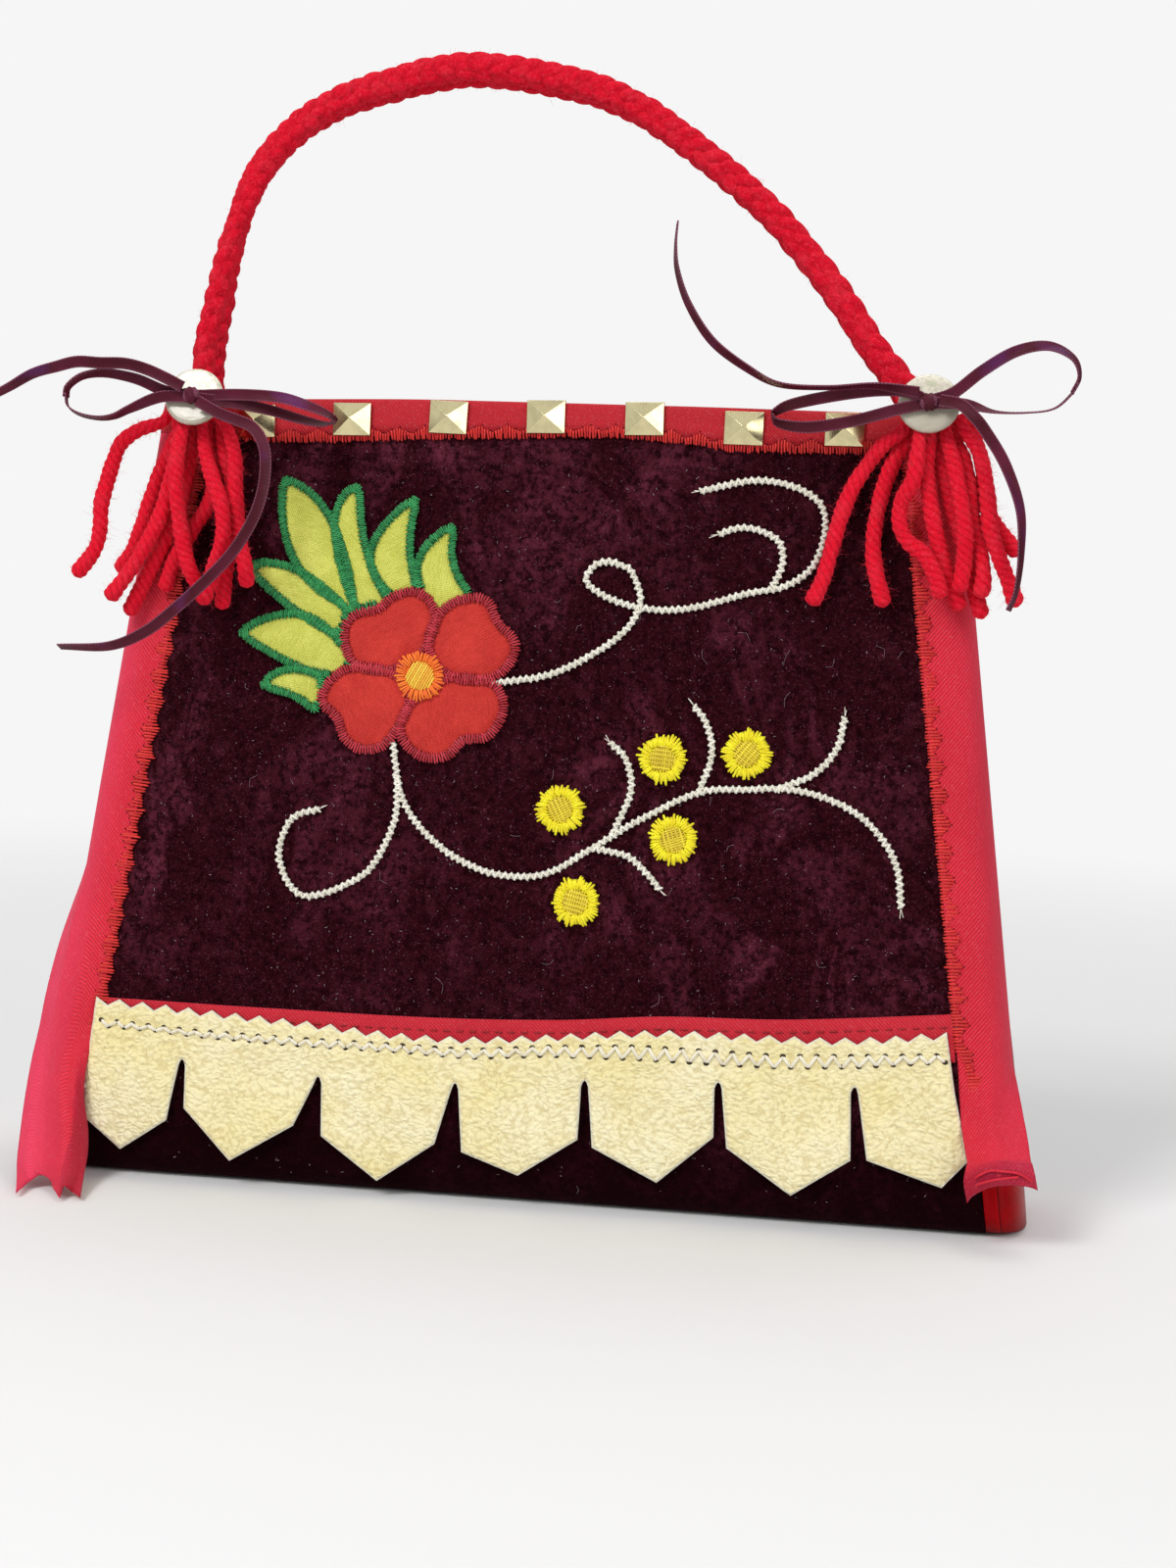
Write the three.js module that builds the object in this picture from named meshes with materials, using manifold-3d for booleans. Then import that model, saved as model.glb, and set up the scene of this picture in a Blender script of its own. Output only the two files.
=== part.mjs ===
// A small velvet handbag: a tapered body with ribbon bound sides, two yarn rope handles,
// yarn tassels, shell buttons and bows, appliqued flower work and a cut leather fringe.
// Millimetres, +Z up, front facing -Y, origin on the floor at the middle of the base.
import * as THREE from "three";
import { mergeVertices } from "three/addons/utils/BufferGeometryUtils.js";
import Module from "manifold-3d";

const wasm = await Module();
wasm.setup();

// Body
const bagHeight = 205;
const bottomDepth = 52;
const mouthDepth = 16;
const bottomHalfWidth = 117.5; // velvet seen between the side ribbons
const topHalfWidth = 89;
const seamAllowance = 3; // velvet that runs on under each ribbon
const wallThickness = 2; // cloth with its lining
const bottomRadius = 8;
const gussetBulge = 10.2;
const gussetRoundness = 3; // exponent of the gusset's section
const clearance = 0.3;

// Ribbons and binding
const ribbonThickness = 0.6;
const sideRibbonWidth = 19;
const bindingHeight = 8.7;
const bindingThickness = 0.9;
const hemWidth = 12;

// Leather fringe
const leatherThickness = 1.3;
const pinkPitch = 6.4;
const pinkDepth = 1.9;

// Studs
const studPitch = 25.4;
const studMargin = 10; // least distance from the side of the mouth to a stud's middle
const studWidth = 10;
const studHeight = 8.5;
const studRise = 2.9;
const studBase = 0.6;
const studShift = -0.5;
const studDrops = [2.9, 1.7, 0.5, -0.3, -0.5, 1.2, 0.8]; // the row was set by hand and wanders
const studCount = Math.floor((2 * (topHalfWidth - studMargin)) / studPitch) + 1;

// Buttons and the yarn that they hold
const buttonRadius = 7.6;
const buttonThickness = 1.8;
const buttonHoleRadius = 0.9;
const buttonHoleSpacing = 4.2;
const buttonTilt = THREE.MathUtils.degToRad(14);
const yarnRadius = 2.1;
const yarnRootRadius = 1.5;
const yarnTaper = 14; // length over which a strand swells from its root
// Each button's place: past the side of the mouth, up from the rim, and out from the velvet.
const buttonSeats = {
  left: [1.8, -2.8, 11.2],
  right: [7.5, 0.6, 10.4],
};

// Bow ribbon
const bowWidth = 3;
const bowThickness = 0.45;
const knotRadius = 2;

// Handles
const handleWidth = 8.3;
const handleDepth = 8;
const footWidth = 9.8;
const footDepth = 6;
const footLength = 14;
const rearFootShift = -5;
const footStandOff = 1.8; // between the mouth's outer edge and the near side of a foot
const ropeGap = 0.15; // half of the gap between the two ropes where they meet

// Applique
const fabricThickness = 0.6;
const stitchThickness = 0.7;
const leafBorder = 2.2;
const petalBorder = 2.5;
const stemWidth = 2.4;
const stemHeight = 0.85;
const flowerCentre = [-30.2, 134.2];
const ringRadius = 6.5;
const centreRadius = 4;
const berryRadius = 6.2;
const berryDish = 3.5;

// How finely the long soft pieces are stepped
const stemStep = 5.3;
const strandStep = 6.5;
const bowStep = 5.6;
const handleSteps = 44;

// The flower work was drawn for velvet of this size, and follows the panel's own.
const drawnWidth = 206.5;
const drawnLength = 205.8;

const taper = (bottomDepth - mouthDepth) / 2;
const lean = Math.atan(taper / bagHeight);
const panelLength = Math.hypot(bagHeight, taper);
const rimHeight = bagHeight - bindingThickness - clearance;
const scaleX = (bottomHalfWidth + topHalfWidth) / drawnWidth;
const scaleV = panelLength / drawnLength;
const motif = ([x, v]) => [x * scaleX, v * scaleV];

// A button's middle on the front panel: across, up, and out.
function buttonSpot(side) {
  const [past, up, out] = buttonSeats[side];
  const across = topHalfWidth + past;
  return [side === "left" ? -across : across, panelLength + up, out];
}

const bag = new THREE.Group();

// The front panel's own frame: x across, y up the leaning panel, z out of it.
const front = new THREE.Group();
front.position.set(0, -bottomDepth / 2, 0);
front.rotation.x = Math.PI / 2 - lean;
bag.add(front);

function finish(color, roughness, metalness = 0) {
  return new THREE.MeshStandardMaterial({ color, roughness, metalness });
}

const velvet = finish(0x2d0c19, 0.85);
const satin = finish(0xaa000f, 0.35);
const ribbonRed = finish(0xcd3246, 0.6);
const bindingRed = finish(0xc32832, 0.7);
const leather = finish(0xeedeaa, 0.6);
const yarn = finish(0xeb1e2d, 0.9);
const ropeYarn = finish(0xd7142d, 0.9);
const metal = finish(0xd8cfa8, 0.25, 1);
const shell = finish(0xe1dec8, 0.3);
const plum = finish(0x552341, 0.35);
const leafCloth = finish(0xcdd75f, 0.8);
const leafThread = finish(0x1e8241, 0.6);
const petalCloth = finish(0xc83732, 0.8);
const petalThread = finish(0xa51e2d, 0.6);
const orangeThread = finish(0xf0782d, 0.6);
const amberThread = finish(0xf5af32, 0.6);
const berryThread = finish(0xebd714, 0.6);
const stemThread = finish(0xf0ebd7, 0.6);

function add(parent, name, geometry, material) {
  const mesh = new THREE.Mesh(geometry, material);
  mesh.name = name;
  parent.add(mesh);
  return mesh;
}

// Solids

// A closed geometry from points and triangles, turned so that its faces look outwards.
function closed(points, triangles) {
  let volume = 0;
  for (const [a, b, c] of triangles) {
    volume += points[a].dot(points[b].clone().cross(points[c]));
  }
  const facing = volume < 0 ? triangles.map(([a, b, c]) => [a, c, b]) : triangles;
  const geometry = new THREE.BufferGeometry().setFromPoints(points);
  geometry.setIndex(facing.flat());
  geometry.computeVertexNormals();
  return geometry;
}

// A skin through closed convex sections with the same number of points, capped at both ends.
function loft(sections) {
  const count = sections[0].length;
  const triangles = [];
  for (let row = 0; row + 1 < sections.length; row += 1) {
    for (let i = 0; i < count; i += 1) {
      const a = row * count + i;
      const b = row * count + ((i + 1) % count);
      triangles.push([a, b, a + count], [b, b + count, a + count]);
    }
  }
  const last = (sections.length - 1) * count;
  for (let i = 1; i + 1 < count; i += 1) {
    triangles.push([0, i + 1, i], [last, last + i, last + i + 1]);
  }
  return closed(sections.flat(), triangles);
}

// Cloth of one thickness on a grid of points, laid on the side that outward points to.
function sheet(rows, thickness, outward) {
  const columns = rows[0].length;
  const size = rows.length * columns;
  const at = (row, column) => rows[row][column];
  const outer = rows.map((row, r) =>
    row.map((point, c) => {
      const along = at(Math.min(r + 1, rows.length - 1), c).clone().sub(at(Math.max(r - 1, 0), c));
      const across = at(r, Math.min(c + 1, columns - 1)).clone().sub(at(r, Math.max(c - 1, 0)));
      const normal = along.cross(across).normalize();
      if (normal.dot(outward(point)) < 0) normal.negate();
      return point.clone().addScaledVector(normal, thickness);
    }),
  );
  const triangles = [];
  const quad = (a, b, c, d) => triangles.push([a, b, c], [a, c, d]);
  for (let r = 0; r + 1 < rows.length; r += 1) {
    for (let c = 0; c + 1 < columns; c += 1) {
      const a = r * columns + c;
      quad(a, a + 1, a + columns + 1, a + columns);
      quad(size + a, size + a + columns, size + a + columns + 1, size + a + 1);
    }
  }
  const rim = [];
  for (let c = 0; c < columns; c += 1) rim.push(c);
  for (let r = 1; r < rows.length; r += 1) rim.push(r * columns + columns - 1);
  for (let c = columns - 2; c >= 0; c -= 1) rim.push((rows.length - 1) * columns + c);
  for (let r = rows.length - 2; r > 0; r -= 1) rim.push(r * columns);
  rim.forEach((a, i) => {
    const b = rim[(i + 1) % rim.length];
    quad(b, a, size + a, size + b);
  });
  return closed([...rows.flat(), ...outer.flat()], triangles);
}

// A section carried along a curve. Its first axis lies across the curve and its second
// along facing, and section(share) gives its points at each share of the length.
function sweep(curve, steps, section, facing = new THREE.Vector3(0, 0, 1)) {
  const sections = [];
  for (let i = 0; i <= steps; i += 1) {
    const share = i / steps;
    const centre = curve.getPointAt(share);
    const side = curve.getTangentAt(share).cross(facing).normalize();
    const up = side.clone().cross(curve.getTangentAt(share)).normalize();
    sections.push(
      section(share).map(([a, b]) => centre.clone().addScaledVector(side, a).addScaledVector(up, b)),
    );
  }
  return loft(sections);
}

const smooth = (points) =>
  new THREE.CatmullRomCurve3(
    points.map((point) => new THREE.Vector3(...point)),
    false,
    "catmullrom",
    0.5,
  );

function ellipse(halfWidth, halfDepth, sides) {
  return Array.from({ length: sides }, (_, i) => {
    const angle = ((i + 0.5) / sides) * 2 * Math.PI;
    return [halfWidth * Math.cos(angle), halfDepth * Math.sin(angle)];
  });
}

// A flat plate in the front panel's frame, from an outline and the height of its back.
function plate(outline, height, thickness) {
  const shape = new THREE.Shape(outline.map(([x, v]) => new THREE.Vector2(x, v)));
  const geometry = new THREE.ExtrudeGeometry(shape, { depth: thickness, bevelEnabled: false });
  return geometry.translate(0, 0, height);
}

function solidOf(geometry) {
  const bare = geometry.clone();
  bare.deleteAttribute("normal");
  bare.deleteAttribute("uv");
  const merged = mergeVertices(bare, 1e-4);
  const vertProperties = merged.attributes.position.array;
  const triVerts = new Uint32Array(merged.index.array);
  return new wasm.Manifold(new wasm.Mesh({ numProp: 3, vertProperties, triVerts }));
}

function geometryOf(solid) {
  const mesh = solid.getMesh();
  const geometry = new THREE.BufferGeometry();
  geometry.setAttribute("position", new THREE.BufferAttribute(mesh.vertProperties.slice(), 3));
  geometry.setIndex(new THREE.BufferAttribute(mesh.triVerts.slice(), 1));
  geometry.computeVertexNormals();
  return geometry;
}

function join(geometries) {
  return geometryOf(geometries.map(solidOf).reduce((whole, part) => whole.add(part)));
}

function cut(body, tools) {
  return geometryOf(tools.map(solidOf).reduce((left, tool) => left.subtract(tool), solidOf(body)));
}

// Body shape

const visibleEdge = (v) => bottomHalfWidth + ((topHalfWidth - bottomHalfWidth) * v) / panelLength;
const velvetEdge = (z) => visibleEdge(z / Math.cos(lean)) + seamAllowance;

// Centre of the rounding that joins the leaning front to the floor.
const roundingY = -bottomDepth / 2 + (bottomRadius * (1 + Math.sin(lean))) / Math.cos(lean);

function halfDepth(z) {
  if (z >= bottomRadius * (1 + Math.sin(lean))) return bottomDepth / 2 - z * Math.tan(lean);
  return Math.sqrt(bottomRadius ** 2 - (bottomRadius - z) ** 2) - roundingY;
}

// Half of the U shaped profile of the front and base, set in from the outside by inset.
function frontProfile(inset) {
  const points = [[-mouthDepth / 2 + taperAt(rimHeight) + inset / Math.cos(lean), rimHeight]];
  const arcSteps = 5;
  for (let i = 0; i <= arcSteps; i += 1) {
    const angle = Math.PI - lean + (i / arcSteps) * (Math.PI / 2 + lean);
    const radius = bottomRadius - inset;
    points.push([roundingY + radius * Math.cos(angle), bottomRadius + radius * Math.sin(angle)]);
  }
  return points;
}

// How far the front stands out at this height beyond its place at the mouth, as a negative y.
function taperAt(z) {
  return -(bagHeight - z) * Math.tan(lean);
}

function makeVelvetBody() {
  const outer = frontProfile(0);
  const inner = frontProfile(wallThickness);
  const behind = (points) => points.map(([y, z]) => [-y, z]);
  const outline = [...outer, ...behind(outer).reverse(), ...behind(inner), ...inner.reverse()];
  const profile = new THREE.Shape(outline.map(([y, z]) => new THREE.Vector2(y, z)));
  const width = 3 * bottomHalfWidth;
  const trough = new THREE.ExtrudeGeometry(profile, { depth: width, bevelEnabled: false });
  trough.translate(0, 0, -width / 2);
  const turn = new THREE.Matrix4().makeBasis(
    new THREE.Vector3(0, 1, 0),
    new THREE.Vector3(0, 0, 1),
    new THREE.Vector3(1, 0, 0),
  );
  trough.applyMatrix4(turn);
  const trimRow = (z) =>
    [-1, 1].flatMap((side) =>
      [-side, side].map((end) => new THREE.Vector3(side * velvetEdge(z), end * bottomDepth, z)),
    );
  const trim = loft([trimRow(-1), trimRow(bagHeight + 1)]);
  return geometryOf(solidOf(trough).intersect(solidOf(trim)));
}

const gussetSteps = 8;

// Points of one gusset's section at a height, from its front edge round to its back edge.
function gussetCurve(side, z, grow, steps = gussetSteps) {
  const start = velvetEdge(z) + clearance;
  const power = 2 / gussetRoundness;
  return Array.from({ length: steps + 1 }, (_, i) => {
    const angle = -Math.PI / 2 + (i / steps) * Math.PI;
    const out = (gussetBulge + grow) * Math.abs(Math.cos(angle)) ** power;
    const across = (halfDepth(z) + grow) * Math.sign(angle) * Math.abs(Math.sin(angle)) ** power;
    return new THREE.Vector3(side * (start + out), across, z);
  });
}

function makeGusset(side) {
  const rounding = bottomRadius * (1 + Math.sin(lean));
  const heights = [0, 0.08, 0.3, 0.62].map((share) => share * rounding);
  const outer = [...heights, rounding, rimHeight].map((z) => gussetCurve(side, z, 0));
  const overrun = new THREE.Vector3(-2 * side, 0, 0);
  const innerRow = (z, height) => {
    const curve = gussetCurve(side, z, -wallThickness);
    const [first, last] = [curve[0], curve[gussetSteps]].map((end) => end.clone().add(overrun));
    return [first, ...curve, last].map((point) => point.setZ(height));
  };
  const floor = wallThickness;
  const hollow = [floor, floor + 1.5, floor + 4, rounding + floor].map((z) => innerRow(z, z));
  hollow.push(innerRow(rimHeight, rimHeight + 1));
  return cut(loft(outer), [loft(hollow)]);
}

// Closed loop round the whole bag at a height, grown outwards by grow.
function bodyLoop(z, grow) {
  return [...gussetCurve(1, z, grow), ...gussetCurve(-1, z, grow).reverse()];
}

function makeBinding() {
  const bottom = bagHeight - bindingHeight;
  const outside = clearance + bindingThickness;
  const inside = -wallThickness - clearance;
  const ring = (grow, from, to) => loft([bodyLoop(from, grow), bodyLoop(to, grow)]);
  const whole = ring(outside, bottom, bagHeight);
  const mouth = ring(inside - bindingThickness, bottom - 1, bagHeight + 1);
  const channel = cut(ring(clearance, bottom - 1, bagHeight - bindingThickness), [
    ring(inside, bottom - 2, bagHeight),
  ]);
  return cut(whole, [mouth, channel]);
}

// Side ribbons

// The point that lies a distance along a row of points.
function alongRow(row, distance) {
  let left = distance;
  for (let i = 0; i + 1 < row.length; i += 1) {
    const step = row[i].distanceTo(row[i + 1]);
    if (left <= step || i + 2 === row.length) return row[i].clone().lerp(row[i + 1], left / step);
    left -= step;
  }
  return row[row.length - 1].clone();
}

const ribbonColumns = 8;

// One row across a side ribbon, from its inner edge over the velvet and round the gusset.
function ribbonRow(side, z) {
  const curve = gussetCurve(side, z, clearance, 40);
  const edge = new THREE.Vector3(side * visibleEdge(z / Math.cos(lean)), curve[0].y, z);
  return Array.from({ length: ribbonColumns + 1 }, (_, i) =>
    alongRow([edge, ...curve], (i / ribbonColumns) * sideRibbonWidth),
  );
}

// A row across the loose end of a ribbon, through a few set points.
function looseRow(points) {
  const row = points.map((point) => new THREE.Vector3(...point));
  const length = row.slice(1).reduce((sum, point, i) => sum + point.distanceTo(row[i]), 0);
  return Array.from({ length: ribbonColumns + 1 }, (_, i) =>
    alongRow(row, (i / ribbonColumns) * length),
  );
}

// Loose ends, as rows from the inner edge to the outer: the left one is creased and lies out
// on the floor in two points, and the right one curls up and forward.
const leftTail = [
  [[-115, -23.8, 31], [-117, -25, 31], [-124, -24.8, 30.5], [-130, -22, 30]],
  [[-115, -27.5, 22], [-114.6, -28.4, 21.6], [-122, -29.2, 21], [-129.4, -27.6, 20.5]],
  [[-110.8, -32, 12.6], [-114.6, -34.6, 11.6], [-121, -35, 11], [-128.3, -33.6, 10.6]],
  [[-108.9, -38.6, 5.2], [-113.6, -41, 3.8], [-120, -41, 3.6], [-126.9, -40, 3.2]],
];
const leftTips = [
  [-104.9, -53.6, 0.9],
  [-106.5, -50, 1.4],
  [-110.6, -46.2, 2.1],
  [-110, -54.6, 0.9],
  [-113.4, -52, 1],
  [-117, -48.4, 1.4],
  [-119.4, -47, 1.6],
  [-121, -50, 1.1],
  [-122.4, -53, 0.9],
];
const rightCurl = [
  [[115.6, -24.6, 22.5], [123, -25.4, 23], [130.8, -23.4, 22.6]],
  [[115.8, -28.4, 17], [123, -29, 18.6], [131, -27, 18.2]],
  [[114.8, -31, 14.6], [118.6, -32.4, 17.4], [123.4, -33, 18.6], [128.6, -32, 18], [132, -30, 16.6]],
];
const curlEnd = [
  [114.4, -34.6, 10.8],
  [115.8, -35, 13.6],
  [117.8, -35, 15.6],
  [120.2, -34.6, 16.9],
  [122.8, -34.2, 17.6],
  [125.6, -34.6, 17.5],
  [128.2, -34.6, 17],
  [130.4, -34.2, 16],
  [132.6, -33.8, 14],
];

function makeSideRibbon(side) {
  const top = bagHeight - bindingHeight - clearance;
  const loose = side < 0 ? leftTail.map(looseRow) : rightCurl.map(looseRow);
  const end = (side < 0 ? leftTips : curlEnd).map((point) => new THREE.Vector3(...point));
  const release = side < 0 ? 36 : 27;
  const heights = [1, 0.71, 0.4, 0.15, 0].map((share) => THREE.MathUtils.lerp(release + 4, top, share));
  const wrapped = heights.map((z) => ribbonRow(side, z));
  const outward = (point) => new THREE.Vector3(side * 0.6, -1, point.z < release ? 0.8 : 0);
  return sheet([...wrapped, ...loose, end], ribbonThickness, outward);
}

// Hem ribbon and leather fringe, drawn on the front panel

const hemTop = [[-111, 46.4], [-33, 46.4], [8, 48], [37.6, 50.7], [70.5, 52], [111, 55.9]];
const fringeTop = [[-112.3, 46.6], [-60, 44], [-17, 42.3], [36, 47.3], [80, 48.2], [108.4, 51.4]];
const leftFringeEdge = [[-114.4, 26], [-113.6, 14.8]];
const rightFringeEdge = [[115.3, 19.7], [111.1, 36.5]];
// Each slot's left corner, top and right corner, with the tip of the tab before it.
const fringeTabs = [
  { tip: [-103.7, 7.2], slot: [[-91.6, 15.6], [-88.2, 31.7], [-87, 19.1]] },
  { tip: [-73.8, 6.4], slot: [[-57.4, 16.6], [-51.6, 29.6], [-49.9, 14.5]] },
  { tip: [-34.7, 3.9], slot: [[-20.1, 14.4], [-15.5, 30.3], [-12.9, 12.9]] },
  { tip: [2.2, 8.1], slot: [[17, 18.2], [18.1, 33.3], [20.8, 16.5]] },
  { tip: [37.7, 8.7], slot: [[51.5, 21.1], [52.1, 35.1], [54.9, 18.7]] },
  { tip: [71.7, 8.1], slot: [[86.2, 17.9], [86.3, 36.1], [90.2, 18.2]] },
];
const lastTip = [109, 12.6];

const spline = (points) => new THREE.SplineCurve(points.map((p) => new THREE.Vector2(...motif(p))));

function makeHem() {
  const top = spline(hemTop).getPoints(20).map(({ x, y }) => [x, y]);
  const inside = ([x, v]) => {
    const limit = visibleEdge(v) - clearance;
    return [THREE.MathUtils.clamp(x, -limit, limit), v];
  };
  const bottom = top.map(([x, v]) => [x, v - hemWidth]).reverse();
  return plate([...top, ...bottom].map(inside), clearance, ribbonThickness);
}

// A slot's two sides meet in a small round head.
function slotOutline([left, top, right]) {
  const head = 0.9;
  const lift = 1.6;
  return [left, [top[0] - head, top[1] - lift], top, [top[0] + head, top[1] - lift], right];
}

function makeFringe() {
  const topCurve = spline(fringeTop);
  const teeth = Math.round(topCurve.getLength() / pinkPitch);
  const pinked = [];
  for (let i = 0; i <= 2 * teeth; i += 1) {
    const { x, y } = topCurve.getPointAt(i / (2 * teeth));
    pinked.push([x, i % 2 ? y - pinkDepth : y]);
  }
  const lower = fringeTabs.flatMap(({ tip, slot }) => [tip, ...slotOutline(slot)]);
  const rest = [...leftFringeEdge, ...lower, lastTip, ...rightFringeEdge].map(motif);
  const height = 2 * clearance + ribbonThickness;
  return plate([...pinked.reverse(), ...rest], height, leatherThickness);
}

// Flower work

const quadratic = (from, control, to) =>
  new THREE.QuadraticBezierCurve(
    new THREE.Vector2(...motif(from)),
    new THREE.Vector2(...motif(control)),
    new THREE.Vector2(...motif(to)),
  );

// A leaf has its base, two bowed sides and a sharp tip between them.
function leafOutline([base, bow, tip, otherBow, otherBase]) {
  const steps = 4;
  const up = quadratic(base, bow, tip).getPoints(steps);
  const down = quadratic(tip, otherBow, otherBase).getPoints(steps).slice(1);
  return [...up, ...down].map(({ x, y }) => [x, y]);
}

function petalOutline(points) {
  const ring = points.map(([x, v]) => new THREE.Vector3(...motif([x, v]), 0));
  const curve = new THREE.CatmullRomCurve3(ring, true, "catmullrom", 0.5);
  return curve.getPoints(2 * points.length).slice(0, -1).map(({ x, y }) => [x, y]);
}

// The outline moved outwards by distance, with sharp corners drawn out but not without end.
function grown(outline, distance) {
  const longest = 1.85;
  const turning = THREE.ShapeUtils.area(outline.map(([x, y]) => ({ x, y }))) > 0 ? 1 : -1;
  return outline.map(([x, y], i) => {
    const [px, py] = outline.at(i - 1);
    const [nx, ny] = outline[(i + 1) % outline.length];
    const before = new THREE.Vector2(y - py, px - x).normalize().multiplyScalar(turning);
    const after = new THREE.Vector2(ny - y, x - nx).normalize().multiplyScalar(turning);
    const sum = before.clone().add(after);
    const reach = Math.min(2 / sum.length(), longest);
    sum.normalize().multiplyScalar(distance * reach);
    return [x + sum.x, y + sum.y];
  });
}

const leaves = [
  [[-54.2, 154.5], [-68.8, 162.1], [-66.8, 180.8], [-54, 177.8], [-49.6, 151.4]],
  [[-47.3, 152], [-58.4, 175.7], [-50.5, 179.5], [-48.8, 164.7], [-41.1, 153.5]],
  [[-38.7, 156.4], [-50.2, 165.2], [-36, 175.7], [-37.5, 168.4], [-33.6, 157.6]],
  [[-25.8, 151.8], [-37.1, 163], [-25.4, 169.7], [-26.4, 163.4], [-19.6, 155.6]],
  [[-51.3, 149.8], [-64.3, 162.6], [-74.9, 159.8], [-65.7, 151], [-52.9, 145.2]],
  [[-50.2, 137.1], [-59.3, 154.4], [-74.6, 144], [-60.1, 133.9], [-53.2, 135]],
  [[-57, 132], [-65.2, 135.4], [-68.2, 131.5], [-59.8, 128.8], [-57.7, 125.4]],
].map(leafOutline);

const petals = [
  [
    [-28.3, 150.7], [-32.2, 154.6], [-37.2, 153.4], [-41.5, 150], [-47.4, 148.2],
    [-49.4, 144], [-46.5, 137.5], [-37.7, 136.9], [-31.4, 141], [-28.6, 146],
  ],
  [
    [-44.8, 134.8], [-50.5, 133.2], [-54.6, 127.6], [-50.5, 123.5], [-47.9, 117.7],
    [-43, 116], [-38.1, 118.7], [-33.9, 127.7], [-37.2, 133.2],
  ],
  [
    [-31.9, 125.3], [-33.3, 119.5], [-28.3, 114.8], [-22.5, 115.4], [-18.4, 119.7],
    [-12.4, 120.6], [-9.2, 126.8], [-12.2, 132.2], [-22, 132.8], [-26.5, 129.8],
  ],
  [
    [-25.4, 148.8], [-21, 152.7], [-14.6, 153.4], [-11.4, 147.8], [-7, 143.6],
    [-8.2, 138.9], [-12.5, 135.6], [-19.5, 135.2], [-25, 138], [-27.2, 143.2],
  ],
].map(petalOutline);

const borderHeight = 2 * clearance + fabricThickness;

function disc(radius, centre, height, thickness, sides = 20) {
  const outline = ellipse(radius, radius, sides).map(([x, y]) => [centre[0] + x, centre[1] + y]);
  return plate(outline, height, thickness);
}

// One cloth under all the petals or leaves, and the stitched border that goes over its edges.
function makeApplique(outlines, border, trim) {
  const cover = (grow, height, thickness) =>
    join(outlines.map((outline) => plate(grown(outline, grow), height, thickness)));
  const cloth = cover(border - clearance, clearance, fabricThickness);
  const windows = outlines.map((outline) => plate(outline, 0, 4));
  const stitching = cover(border, borderHeight, stitchThickness);
  return [cut(cloth, trim), cut(stitching, [...windows, ...trim])];
}

function makeFlower() {
  const centre = motif(flowerCentre);
  const gap = disc(ringRadius + clearance, centre, borderHeight - clearance / 2, 2);
  const [petalFabric, petalStitching] = makeApplique(petals, petalBorder, []);
  const blossom = join(petals.map((outline) => plate(grown(outline, petalBorder + clearance), 0, 4)));
  const [leafFabric, leafStitching] = makeApplique(leaves, leafBorder, [blossom]);
  add(front, "leaf_fabric", leafFabric, leafCloth);
  add(front, "leaf_border", leafStitching, leafThread);
  add(front, "petal_fabric", petalFabric, petalCloth);
  add(front, "petal_border", cut(petalStitching, [gap]), petalThread);
  const height = borderHeight;
  const ring = cut(disc(ringRadius, centre, height, stitchThickness), [
    disc(centreRadius + clearance, centre, height - 1, 4),
  ]);
  add(front, "flower_ring", ring, orangeThread);
  add(front, "flower_centre", disc(centreRadius, centre, height, stitchThickness, 16), amberThread);
}

const berries = [[8, 101.8], [33.6, 115.9], [55.1, 118.2], [37.5, 95.6], [13.2, 78.5]];

// A stitched berry is a low dome with a dished middle.
function makeBerry(centre) {
  const profile = [
    [0, 0],
    [berryRadius, 0],
    [berryRadius, 0.4],
    [(berryRadius + berryDish) / 2, 1.2],
    [berryDish, 0.9],
    [0, 0.9],
  ];
  const points = profile.map(([r, h]) => new THREE.Vector2(r, h));
  const [x, v] = motif(centre);
  return new THREE.LatheGeometry(points, 12).rotateX(Math.PI / 2).translate(x, v, clearance);
}

const vineStart = [
  [-8.6, 133.6], [3.4, 136.1], [15.7, 142.7], [23, 149], [25.9, 155.8], [23.6, 162.7],
  [20.9, 164.6], [17.1, 165.5],
];
const vineEnd = [
  [20.9, 164.6], [17.1, 165.5], [13.6, 164.3], [11.7, 160.6], [16.3, 156.9], [25.8, 154.1],
  [37.8, 154.3], [53.7, 158.9], [62.3, 160.9], [69, 165.9], [71.8, 174.4], [70.7, 181.5],
  [64, 185.9], [53.6, 187.3], [39.8, 184.2],
];
const vineCurl = [
  [59.3, 160.4], [61.5, 166.6], [60.5, 172], [55.4, 174.8], [50, 175.2], [45.1, 173.4],
];
const stemMain = [
  [-36.1, 113.4], [-34.2, 104.9], [-29.2, 96.4], [-19.8, 88.8], [-8, 84.4], [4.7, 85.1],
  [15.8, 91.7], [28, 99.8], [43.1, 107.8], [55, 109.2], [67.3, 109.7], [79.8, 106.4],
  [88.7, 100], [94, 91.5], [95.5, 81.5],
];
const stemCurl = [
  [-34.9, 108], [-35.1, 96.6], [-40.7, 84.4], [-49, 78.6], [-57.5, 76], [-62.6, 79.3],
  [-65.4, 87.3], [-62.2, 95.9], [-55, 98.8],
];
const stemBranches = [
  [[17, 92.4], [25.9, 90.7], [31.6, 86.2], [34.6, 82.7]],
  [[21.8, 96], [25.9, 107.2], [24.2, 115.3], [19.9, 119.6]],
  [[43.2, 107.6], [46.1, 117.6], [44.4, 125.2], [41, 129.8]],
  [[63.2, 109.7], [72.1, 113.9], [77.6, 120.6], [79.2, 128.6]],
];

function stem(points) {
  const curve = smooth(points.map((point) => [...motif(point), clearance]));
  const steps = Math.round(curve.getLength() / stemStep);
  const half = stemWidth / 2;
  const section = [[-half, 0], [half, 0], [0.7 * half, stemHeight], [-0.7 * half, stemHeight]];
  return sweep(curve, steps, () => section);
}

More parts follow.
